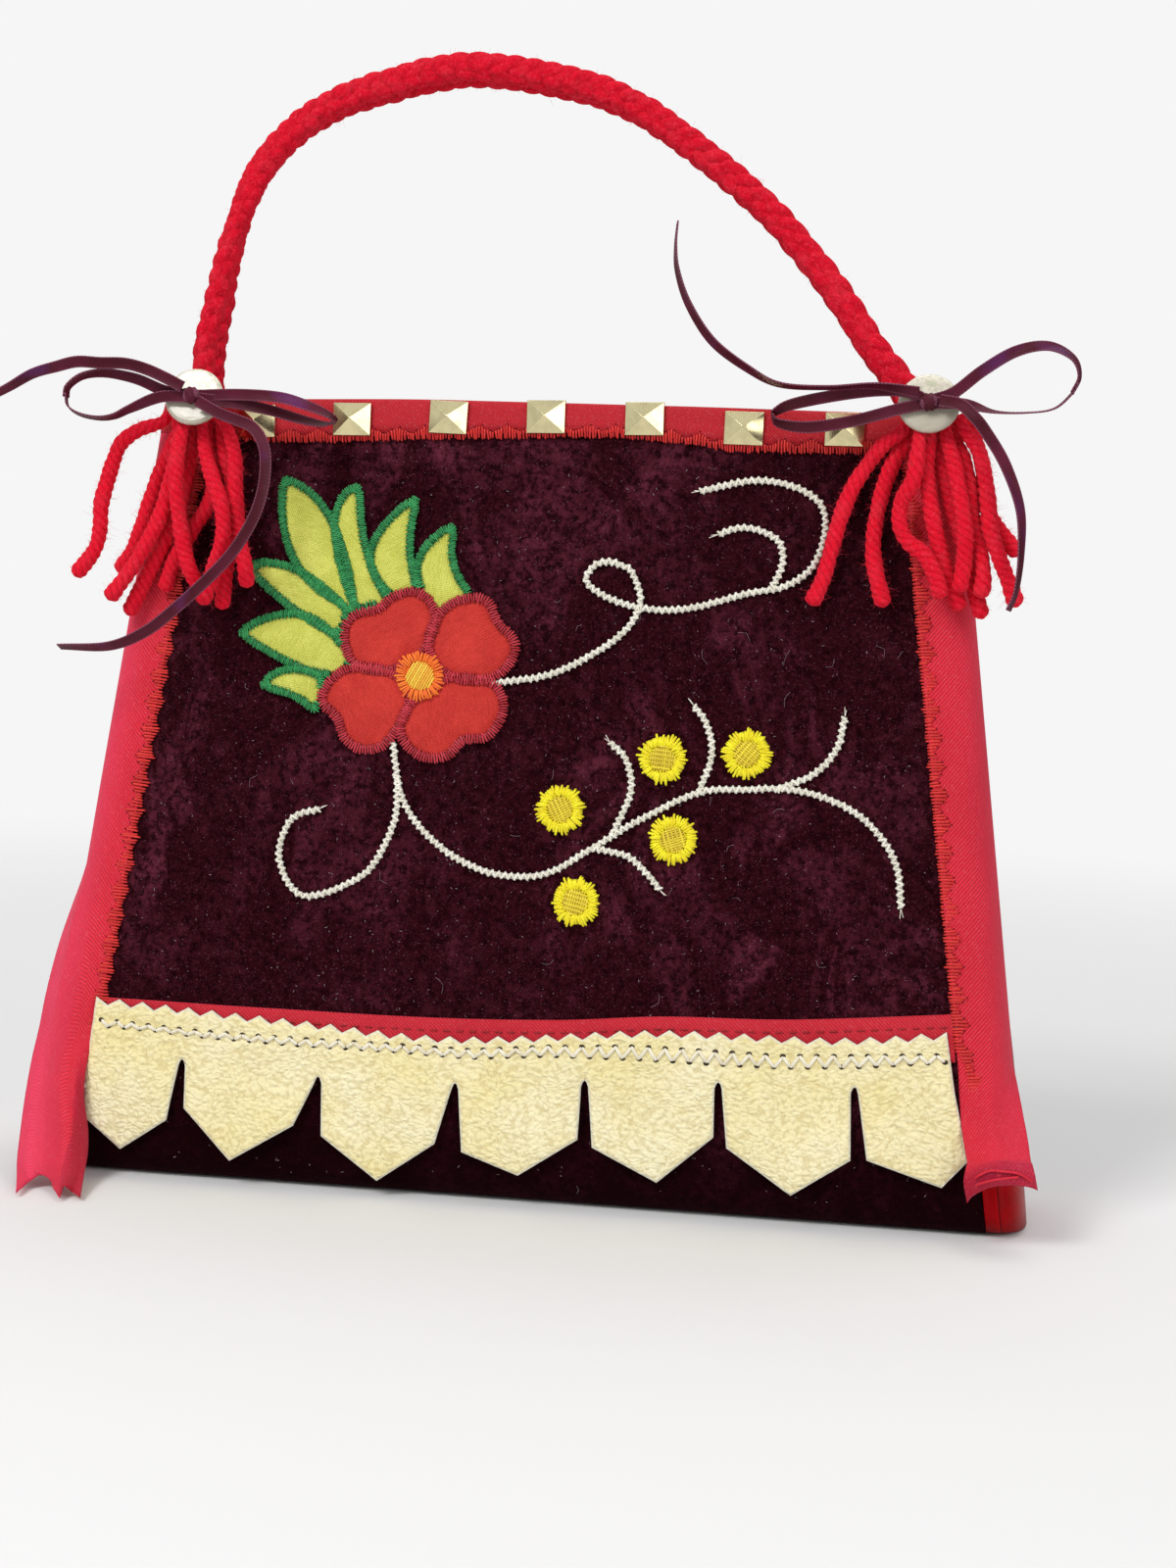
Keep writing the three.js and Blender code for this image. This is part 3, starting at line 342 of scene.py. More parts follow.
def inside(points, outline):
    """Which points lie inside a closed outline."""
    x, y = points[:, 0][:, None], points[:, 1][:, None]
    x0, y0 = outline[:, 0], outline[:, 1]
    x1, y1 = np.roll(x0, -1), np.roll(y0, -1)
    crosses = (y0 > y) != (y1 > y)
    slope = (x1 - x0) / np.where(y1 == y0, 1e-12, y1 - y0)
    return (crosses & (x < x0 + (y - y0) * slope)).sum(1) % 2 == 1


def from_edge(points, outline):
    """Each point's distance from a closed outline."""
    best = np.full(len(points), np.inf)
    for a, b in zip(outline, np.roll(outline, -1, 0)):
        span = b - a
        share = np.clip((points - a) @ span / max(span @ span, 1e-12), 0, 1)
        best = np.minimum(best, np.linalg.norm(points - a - share[:, None] * span, axis=1))
    return best


def densified(outline, spacing):
    """An outline with points no further apart than spacing, and its corners kept."""
    rows = []
    for a, b in zip(outline, np.roll(outline, -1, 0)):
        count = max(1, int(math.ceil(np.linalg.norm(b - a) / spacing)))
        rows.append(a + (b - a) * (np.arange(count) / count)[:, None])
    return np.vstack(rows)


def within(points, rings):
    """Which points lie inside the first outline and outside all the others."""
    holes = [inside(points, ring) for ring in rings[1:]]
    return inside(points, rings[0]) & ~np.any(holes, axis=0)


def patch(cloth, outline, spacing, top, bottom, place=on_panel, holes=(), lay_at=None):
    """A closed flat piece: top and bottom give its two heights from x, y and the distance to
    the nearest edge."""
    rings = [densified(np.asarray(ring, float), spacing) for ring in (outline, *holes)]
    low, high = rings[0].min(0), rings[0].max(0)
    columns = np.arange(low[0], high[0], spacing)
    rows = np.arange(low[1], high[1], spacing * 0.866)
    grid = np.array([(x + (j % 2) * spacing / 2, y) for j, y in enumerate(rows) for x in columns])
    edge = np.min([from_edge(grid, ring) for ring in rings], axis=0)
    grid = grid[within(grid, rings) & (edge > 0.45 * spacing)]
    edges, start = [], 0
    for ring in rings:
        size = len(ring)
        edges += [(start + i, start + (i + 1) % size) for i in range(size)]
        start += size
    found, _, faces, *_ = delaunay_2d_cdt(
        [Vector(p) for p in np.vstack([*rings, grid])], edges, [], 0, 1e-6)
    found = np.array([tuple(p) for p in found])
    faces = np.array([face for face in faces if len(face) == 3])
    faces = faces[within(found[faces].mean(1), rings)]
    a, b, c = (found[faces[:, i]] for i in range(3))
    turned = (b[:, 0] - a[:, 0]) * (c[:, 1] - a[:, 1]) < (b[:, 1] - a[:, 1]) * (c[:, 0] - a[:, 0])
    faces[turned] = faces[turned][:, ::-1]
    distance = np.min([from_edge(found, ring) for ring in rings], axis=0)
    count = len(found)
    x, y = found.T
    upper = place(joined(x, y, top(x, y, distance)))
    lower = place(joined(x, y, bottom(x, y, distance)))
    sides = dict.fromkeys((f[i], f[(i + 1) % 3]) for f in faces.tolist() for i in range(3))
    walls = [(q, p, p + count, q + count) for p, q in sides if (q, p) not in sides]
    shell = faces.tolist() + (faces[:, ::-1] + count).tolist() + walls
    if lay_at is None:
        lay = joined(x, y, np.clip(distance, 0, 5) / 5)
        under = lay * (1, 1, 0) - (0, 0, 1)
    else:
        lay = under = lay_at(x, y)
    cloth.add(np.vstack([upper, lower]), shell, np.vstack([lay, under]))


# Finishes


def shaded(colour, amount):
    """A darker or lighter version of a colour."""
    return [min(1, c * amount) for c in colour]


class Nodes:
    """Adds nodes to one node tree."""

    def __init__(self, tree):
        self.tree = tree

    def node(self, kind, inputs=None, **settings):
        made = self.tree.nodes.new("ShaderNode" + kind)
        for key, value in settings.items():
            setattr(made, key, value)
        for key, value in (inputs or {}).items():
            self.feed(made.inputs[key], value)
        return made

    def feed(self, socket, value):
        if isinstance(value, bpy.types.NodeSocket):
            self.tree.links.new(value, socket)
        elif isinstance(value, (tuple, list)) and len(value) == 3 and socket.type == "RGBA":
            socket.default_value = (*value, 1)
        else:
            socket.default_value = value

    def sum(self, operation, *values, clamp=False):
        made = self.node("Math", operation=operation, use_clamp=clamp)
        for i, value in enumerate(values):
            self.feed(made.inputs[i], value)
        return made.outputs[0]

    def span(self, value, low, high, to_low=0.0, to_high=1.0):
        settings = {"Value": value, "From Min": low, "From Max": high,
                    "To Min": to_low, "To Max": to_high}
        return self.node("MapRange", settings).outputs["Result"]


class Finish(Nodes):
    """One material and its nodes."""

    def __init__(self, name, **settings):
        self.material = bpy.data.materials.new(name)
        self.material.use_nodes = True
        super().__init__(self.material.node_tree)
        self.shader = self.tree.nodes["Principled BSDF"]
        for socket, value in settings.items():
            self.feed(self.shader.inputs[socket.replace("_", " ")], value)
        self.place = self.node("TexCoord").outputs["Object"]
        self.lay = self.node("Attribute", attribute_name="lay").outputs["Vector"]

    def noise(self, scale, detail=3.0, rough=0.55, at=None, kind="FBM", distortion=0.0):
        settings = {"Vector": at or self.place, "Scale": scale, "Detail": detail,
                    "Roughness": rough, "Distortion": distortion}
        return self.node("TexNoise", settings, noise_type=kind).outputs["Fac"]

    def pebbles(self, scale, at, smoothness):
        settings = {"Vector": at, "Scale": scale, "Smoothness": smoothness}
        return self.node("TexVoronoi", settings, feature="SMOOTH_F1").outputs["Distance"]

    def times(self, a, b, clamp=False):
        return self.sum("MULTIPLY", a, b, clamp=clamp)

    def times_plus(self, a, b, c):
        return self.sum("MULTIPLY_ADD", a, b, c)

    def parts(self, vector):
        return self.node("SeparateXYZ", {"Vector": vector}).outputs

    def vector(self, x, y):
        return self.node("CombineXYZ", {"X": x, "Y": y}).outputs[0]

    def stretch(self, vector, scale):
        return self.node("VectorMath", {0: vector, 1: scale}, operation="MULTIPLY").outputs[0]

    def mix(self, factor, a, b):
        made = self.node("Mix", data_type="RGBA")
        for index, value in ((0, factor), (6, a), (7, b)):
            self.feed(made.inputs[index], value)
        return made.outputs[2]

    def tint(self, base, value, low, high, amount, colour):
        """Lays a colour over base: none of it where value is low, and amount of it at high."""
        return self.mix(self.span(value, low, high, 0.0, amount), base, colour)

    def waves(self, value, length):
        """Nought to one and back along a value, once in each length."""
        turn = self.times(value, 2 * math.pi / length)
        return self.times_plus(self.sum("SINE", turn), 0.5, 0.5)

    def done(self, base, relief=None, depth=0.0, strength=1.0, roughness=None):
        """Joins up the colour, the relief to a depth in millimetres and the roughness."""
        self.feed(self.shader.inputs["Base Color"], base)
        if roughness is not None:
            self.feed(self.shader.inputs["Roughness"], roughness)
        if relief is not None:
            bump = self.node("Bump", {"Height": relief, "Distance": depth * MM,
                                      "Strength": strength})
            self.feed(self.shader.inputs["Normal"], bump.outputs["Normal"])
        return self.material


def velvet_finish(name, colour, bloom):
    """Crushed velvet: a dark pile with paler patches where it lies over, which are partly the crush of
    the pile and partly painted sheen, and pale specks. It is painted darker towards the bottom, as
    shade.
    """
    made = Finish(name, Roughness=0.9, Specular_IOR_Level=0.02, Sheen_Weight=0.05,
                  Sheen_Roughness=0.4, Sheen_Tint=(0.8, 0.22, 0.30))
    warp = made.stretch(made.place, (1.0, 1.0, 0.7))
    broad = made.noise(15, 3, 0.5, warp, distortion=0.6)
    patches = made.noise(44, 6, 0.66, warp, distortion=1.1)
    crush = made.noise(95, 4, 0.6, made.stretch(made.place, (1.6, 1.0, 0.55)), distortion=2.2)
    pile = made.noise(1500, 3, 0.75)
    tuft = made.noise(480, 4, 0.75)
    crush_and_sheen = made.times(made.span(patches, 0.47, 0.72), made.span(broad, 0.36, 0.62, 0.25, 1.2))
    crush_and_sheen = made.times_plus(made.times(made.span(crush, 0.52, 0.74), 0.45), crush_and_sheen, crush_and_sheen)
    crush_and_sheen = made.times(crush_and_sheen, made.span(tuft, 0.3, 0.66, 0.35, 1.25), clamp=True)
    # The paler patches mix in the bloom colour: partly the crush of the pile, partly painted sheen.
    base = made.mix(crush_and_sheen, colour, bloom)
    base = made.tint(base, pile, 0.5, 0.74, 0.4, shaded(bloom, 1.2))
    base = made.tint(base, tuft, 0.54, 0.38, 0.85, shaded(colour, 0.3))
    base = made.tint(base, made.noise(2600, 1, 0.5), 0.68, 0.8, 0.4, (0.4, 0.2, 0.26))
    # Painted shade: darker towards the bottom of the bag, below 34 mm and darkest below 12 mm.
    height = made.parts(made.place)[2]
    base = made.tint(base, height, 0.034, 0.012, 0.85, shaded(colour, 0.25))
    return made.done(base, made.times_plus(tuft, 0.8, made.times(patches, 1.6)), 0.6, 0.7)


def twill_finish(name, colour, shade, roughness, step=0.7, weight=0.75, pink=0.0):
    """Ribbon with a fine diagonal weave that follows its length, paler pink towards one side as
    painted sheen, and darker as the lay's third value rises, which on the side ribbons is painted
    shade on their folds and curled ends.
    """
    made = Finish(name, Specular_IOR_Level=0.16, Sheen_Weight=0.15, Sheen_Roughness=0.35,
                  Sheen_Tint=(1.0, 0.35, 0.5))
    tilt = 0.9
    u, v, tinted = made.parts(made.lay)
    diagonal = made.waves(made.times_plus(u, tilt, v), step * math.hypot(1, tilt))
    cross = made.waves(made.sum("SUBTRACT", v, made.times(u, 1.7)), step * 0.9)
    weave = made.times_plus(diagonal, 0.8, made.times(cross, 0.2))
    cloud = made.noise(48, 4, 0.55)
    slub = made.noise(700, 3, 0.6)
    fibre = made.noise(2200, 2, 0.6)
    base = made.tint(colour, weave, 0.25, 0.75, weight, shade)
    base = made.tint(base, cloud, 0.42, 0.68, 0.35, shade)
    base = made.tint(base, slub, 0.5, 0.75, 0.25, shade)
    # Painted shade: the lay's third value darkens the creased strip and the curled end of the side
    # ribbons and the hollow between the rolled folds; on the hem it is an even half, a darker tone
    # throughout.
    base = made.tint(base, tinted, 0, 1, 0.85, (0.28, 0.004, 0.03))
    # Painted sheen: paler pink towards the ribbon's outer side.
    if pink:
        base = made.tint(base, v, 4.0, 15.0, pink, (0.95, 0.075, 0.18))
    base = made.tint(base, fibre, 0.56, 0.8, 0.14, (1, 0.6, 0.65))
    return made.done(base, made.times_plus(fibre, 0.25, weave), 0.16, 0.8,
                     made.span(weave, 0, 1, roughness + 0.08, roughness - 0.06))


def satin_finish(name, colour):
    """Lining satin: glossy, with slight ripples and a sewn line up both its edges, each with a paler
    line of painted highlight beside it.
    """
    made = Finish(name, Specular_IOR_Level=0.06)
    ripple = made.noise(45, 3, 0.5, made.stretch(made.place, (1, 1, 2.4)))
    thread = made.waves(made.parts(made.place)[2], 0.35 * MM)
    across = made.sum("ABSOLUTE", made.parts(made.lay)[1])
    base = made.mix(made.span(ripple, 0.35, 0.7), colour, shaded(colour, 0.5))
    # Each edge has a dark sewn line and, beside it, a paler line of painted highlight on the seam's
    # ridge.
    for line, shade, amount in ((26.9, 0.25, 0.8), (27.9, 1.6, 0.5)):
        away = made.sum("ABSOLUTE", made.sum("SUBTRACT", across, line))
        base = made.tint(base, away, 0.5, 0.2, amount, shaded(colour, shade))
    return made.done(base, made.times_plus(thread, 0.05, ripple), 1.4, 0.7,
                     made.span(ripple, 0.3, 0.7, 0.26, 0.42))


def thread_finish(name, colour, shade, roughness=0.45):
    """Embroidery thread: each stitch a little lighter or darker, with a silky twist. A tint below
    nought, on the underlay and the stem cores, paints them much darker as the shade between the
    stitches.
    """
    made = Finish(name, Specular_IOR_Level=0.35, Sheen_Weight=0.12, Sheen_Roughness=0.3)
    along, around, tint = made.parts(made.lay)
    twist = made.waves(made.times_plus(around, 0.55, along), 0.55)
    base = made.tint(colour, tint, 0, 1, 0.75, shade)
    base = made.tint(base, twist, 0.5, 0.0, 0.25, shaded(colour, 0.5))
    # Painted shade: a tint below nought darkens the underlay and the cores between the stitches.
    base = made.tint(base, tint, 0, -1, 0.8, shaded(colour, 0.3))
    return made.done(base, twist, 0.06, 0.5,
                     made.span(tint, 0, 1, roughness - 0.08, roughness + 0.12))


def cotton_finish(name, colour, shade, thread=0.5):
    """Plain woven cotton under the stitching."""
    made = Finish(name, Roughness=0.85, Specular_IOR_Level=0.15, Sheen_Weight=0.08,
                  Sheen_Roughness=0.5)
    u, v, _ = made.parts(made.lay)
    weave = made.times(made.waves(u, thread), made.waves(v, thread * 1.25))
    slub = made.noise(0.35, 3, 0.6, made.vector(u, made.times(v, 5.0)))
    cloud = made.noise(120, 4, 0.6)
    base = made.tint(colour, weave, 0.6, 0, 0.8, shade)
    base = made.tint(base, slub, 0.4, 0.65, 0.6, shade)
    base = made.tint(base, cloud, 0.45, 0.7, 0.35, shaded(colour, 1.3))
    return made.done(base, made.times_plus(slub, 0.7, weave), 0.2, 0.9)


def wool_finish(name, colour, shade, glow, depth):
    """Plied wool yarn: fine fibres along the twist, dark between the plies as painted shade to the
    given depth, and a soft bloom.
    """
    made = Finish(name, Roughness=0.9, Specular_IOR_Level=0.08, Sheen_Weight=0.3,
                  Sheen_Roughness=0.5, Sheen_Tint=glow)
    along, around, crest = made.parts(made.lay)
    slant = made.times_plus(around, 16.0, made.times(along, -2.6))
    fibre = made.noise(1.0, 4, 0.8, made.vector(made.times(along, 0.9), slant))
    speck = made.noise(1150, 3, 0.7)
    fine = made.noise(2600, 2, 0.7)
    cloud = made.noise(160, 3, 0.6)
    ply_shade_mask = made.times_plus(made.span(fibre, 0.3, 0.7, -0.25, 0.25), 1.0, crest)
    base = made.tint(colour, fibre, 0.5, 0.66, 0.25, shade)
    base = made.tint(base, speck, 0.52, 0.66, 0.35, glow)
    base = made.tint(base, speck, 0.46, 0.36, 0.25, shade)
    base = made.tint(base, fine, 0.56, 0.72, 0.3, glow)
    # Painted shade between the plies, where the crest is low, as deep as depth.
    base = made.tint(base, ply_shade_mask, 0.66, 0.1, depth, shade)
    base = made.tint(base, cloud, 0.5, 0.75, 0.2, glow)
    return made.done(base, made.times_plus(speck, 1.0, made.times_plus(fibre, 0.7, fine)), 0.5)


def hide_finish(name, colour, shade, pale):
    """Cream hide: soft pebbles that stretch along its creases, with shallow lines between. The hollows
    and lines are painted darker as shade, and the pebble tops paler as highlight.
    """
    made = Finish(name, Specular_IOR_Level=0.3)
    drift = made.node("TexNoise", {"Vector": made.place, "Scale": 90.0, "Detail": 3.0})
    push = made.stretch(drift.outputs["Color"], (0.006, 0.006, 0.006))
    at = made.node("VectorMath", {0: made.place, 1: push}, operation="ADD").outputs[0]
    pebble = made.pebbles(760, made.stretch(at, (0.85, 1.0, 1.3)), 0.4)
    second = made.pebbles(1500, at, 0.5)
    grain = made.noise(2600, 2, 0.5)
    crease = made.noise(150, 4, 0.6, made.stretch(at, (0.4, 1.0, 1.5)), "RIDGED_MULTIFRACTAL")
    cloud = made.noise(38, 4, 0.55)
    tinted = made.parts(made.lay)[2]
    hills = made.times_plus(made.span(pebble, 0.0, 0.75, 1.0, 0.0), 0.7,
                            made.times(made.span(second, 0, 0.8, 1, 0), 0.3))
    hills = made.times_plus(made.span(crease, 0.6, 1.6), -0.55, hills)
    hills = made.times_plus(grain, 0.08, hills)
    base = made.mix(made.span(cloud, 0.35, 0.68), colour, pale)
    # Painted shade in the grain's hollows and creases, and painted highlight on the pebble tops.
    base = made.tint(base, hills, 0.46, 0.08, 0.55, shade)
    base = made.tint(base, hills, 0.62, 0.9, 0.4, (0.98, 0.93, 0.72))
    base = made.tint(base, grain, 0.5, 0.8, 0.15, shade)
    # Paler along the cut edges, and brown on the back of the hide and the lower part of its cut edges.
    base = made.tint(base, tinted, 0.14, 0.02, 0.8, (0.84, 0.82, 0.72))
    base = made.tint(base, tinted, 0.0, -0.5, 1.0, (0.20, 0.11, 0.03))
    return made.done(base, hills, 0.5, 1.0, made.span(hills, 0.2, 0.9, 0.62, 0.46))


def metal_finish(name, colour):
    """Plated metal with faint scratches and drifting darker patches."""
    made = Finish(name, Metallic=1.0)
    smear = made.noise(260, 3, 0.6)
    scratch = made.noise(300, 2, 0.5, made.stretch(made.place, (8, 1, 1)))
    base = made.tint(colour, smear, 0.4, 0.7, 0.5, shaded(colour, 0.62))
    return made.done(base, scratch, 0.03, 0.35, made.span(smear, 0.3, 0.8, 0.12, 0.26))


def pearl_finish(name, colour):
    """Mother of pearl, in drifting bands of cream, pink and green, and painted darker over its lower
    half as shade.
    """
    made = Finish(name, Coat_Weight=0.25, Coat_Roughness=0.08,
                  Specular_IOR_Level=0.4)
    bands = made.noise(110, 4, 0.6, made.stretch(made.place, (1, 1, 2.2)), distortion=1.8)
    veins = made.noise(380, 3, 0.6, distortion=2.2)
    height = made.parts(made.lay)[1]
    base = made.mix(made.span(bands, 0.4, 0.6), colour, (0.80, 0.70, 0.62))
    base = made.tint(base, bands, 0.53, 0.62, 0.85, (0.50, 0.56, 0.34))
    base = made.tint(base, veins, 0.48, 0.64, 0.6, (0.46, 0.42, 0.30))
    # Painted shade: darker towards the bottom of the button.
    base = made.tint(base, height, 1.0, -2.0, 0.85, (0.43, 0.39, 0.31))
    return made.done(base, bands, 0.3, 0.5, made.span(veins, 0.3, 0.7, 0.16, 0.34))


def bow_finish(name, colour, rim):
    """Narrow satin ribbon with fine cross ribs and paler woven edges, and drifting purple patches of
    painted sheen.
    """
    made = Finish(name, Roughness=0.42, Specular_IOR_Level=0.13, Sheen_Weight=0.03,
                  Sheen_Roughness=0.3, Sheen_Tint=(0.6, 0.2, 0.4))
    along, across, _ = made.parts(made.lay)
    rib = made.waves(along, 0.36)
    dots = made.waves(along, 0.9)
    edge = made.span(made.sum("ABSOLUTE", across), 1.12, 1.34)
    cloud = made.noise(90, 3, 0.5)
    base = made.mix(made.span(cloud, 0.4, 0.68), colour, (0.13, 0.013, 0.038))
    # Painted sheen: drifting purple patches.
    base = made.tint(base, made.noise(60, 2, 0.5), 0.6, 0.74, 0.6, (0.16, 0.03, 0.18))
    base = made.mix(made.times(edge, made.span(dots, 0, 1, 0.25, 0.95)), base, rim)
    base = made.tint(base, rib, 1, 0, 0.3, shaded(colour, 0.45))
    return made.done(base, rib, 0.06, 0.8)


def plain_finish(name, colour):
    """A matt surface with a faint tooth."""
    made = Finish(name, Roughness=0.8, Specular_IOR_Level=0.2)
    return made.done(made.tint(colour, made.noise(6, 2, 0.5), 0.3, 0.7, 0.05,
                               shaded(colour, 0.95)))


# Sizes and colours that a user would change


def tone(name, description, default):
    """A colour property, as linear red, green and blue."""
    return FloatVectorProperty(name=name, description=description, subtype="COLOR",
                               size=3, min=0.0, max=1.0, default=default)


def span_of(name, description, default):
    """A size property in millimetres."""
    return FloatProperty(name=name, description=description, default=default, min=0.1, max=40.0)


class ClothColours(bpy.types.PropertyGroup):
    """Colours of the cloth, hide and metal."""

    velvet: tone("Velvet", "The dark pile of the body", (0.0215, 0.0019, 0.0042))
    # The bloom is partly the colour of crushed pile and partly painted sheen.
    bloom: tone("Velvet bloom", "The pile where it lies over", (0.112, 0.019, 0.036))
    ribbon: tone("Side ribbon", "The twill ribbon at the sides", (0.80, 0.028, 0.058))
    ribbon_shade: tone("Side ribbon shade", "Between the ribbon's threads", (0.48, 0.010, 0.022))
    binding: tone("Binding", "The ribbon round the mouth and hem", (0.62, 0.024, 0.038))
    binding_shade: tone("Binding shade", "Between the binding's threads", (0.36, 0.008, 0.013))
    gusset: tone("Gusset", "The glossy satin at the ends", (0.33, 0.0006, 0.003))
    hide: tone("Hide", "The grain side of the fringe", (0.90, 0.79, 0.40))
    # Hide shade is the painted shade in the grain's hollows and creases, and its darker specks.
    hide_shade: tone("Hide shade", "The creases of the grain", (0.58, 0.45, 0.17))
    hide_pale: tone("Hide edge", "Cut edges and worn places", (0.95, 0.88, 0.60))
    stud: tone("Stud", "The plating of the studs", (0.74, 0.66, 0.38))
    shell: tone("Shell", "The buttons", (0.80, 0.78, 0.62))
    bow: tone("Bow", "The plum ribbon of the bows", (0.072, 0.007, 0.015))
    bow_rim: tone("Bow edge", "The paler edge of that ribbon", (0.30, 0.10, 0.16))


class ThreadColours(bpy.types.PropertyGroup):
    """Colours of the yarn, the stitching and the flower work."""

    rope: tone("Rope", "The plaited yarn of the handles", (0.86, 0.005, 0.028))
    tassel: tone("Tassel", "The loose yarn ends", (1.0, 0.008, 0.034))
    # Wool shade colours the fibres' darker streaks and the painted shade between the plies.
    wool_shade: tone("Wool shade", "Deep between the plies", (0.46, 0.001, 0.008))
    wool_glow: tone("Wool bloom", "The haze of fine fibres", (1.0, 0.09, 0.13))
    leaf: tone("Leaf cloth", "The cotton of the leaves", (0.84, 0.84, 0.19))
    leaf_edge: tone("Leaf edge", "The stitching round the leaves", (0.010, 0.20, 0.050))
    petal: tone("Petal cloth", "The cotton of the petals", (0.74, 0.062, 0.046))
    petal_edge: tone("Petal edge", "The stitching round the petals", (0.36, 0.008, 0.018))
    ring: tone("Ring", "The ring at the flower's heart", (1.0, 0.24, 0.020))
    heart: tone("Heart", "The flower's middle", (1.0, 0.72, 0.085))
    berry: tone("Berry", "The stitched berries", (1.0, 0.92, 0.018))
    berry_heart: tone("Berry middle", "The fill of each berry", (0.95, 0.78, 0.045))
    stem: tone("Stem", "The curling stems", (1.0, 0.97, 0.86))
    seam: tone("Seam thread", "The zigzag on the ribbons", (0.80, 0.040, 0.034))
    cream: tone("Cream thread", "The stitching on the hide", (0.95, 0.91, 0.76))


class StitchSizes(bpy.types.PropertyGroup):
    """Sizes of the stitching and yarn, in millimetres."""

    pitch: span_of("Pitch", "Distance from one stitch to the next", 0.8)
    leaf_border: span_of("Leaf border", "Width of the stitching round a leaf", 2.2)
    petal_border: span_of("Petal border", "Width of the stitching round a petal", 2.5)
    stem_width: span_of("Stem", "Width of the stems", 1.85)
    yarn: span_of("Yarn", "Thickness of a tassel's yarn", 4.2)
    bow_width: span_of("Bow ribbon", "Width of the ribbon in the bows", 3.0)
    plait_width: span_of("Plait", "Width of the handles", PLAIT_WIDTH)


def cloths():
    return bpy.context.scene.bag_cloths


def yarns():
    return bpy.context.scene.bag_threads


def sizes():
    return bpy.context.scene.bag_stitches


# Routes of the free yarn and ribbon ends, from each button's middle: across, up, and out

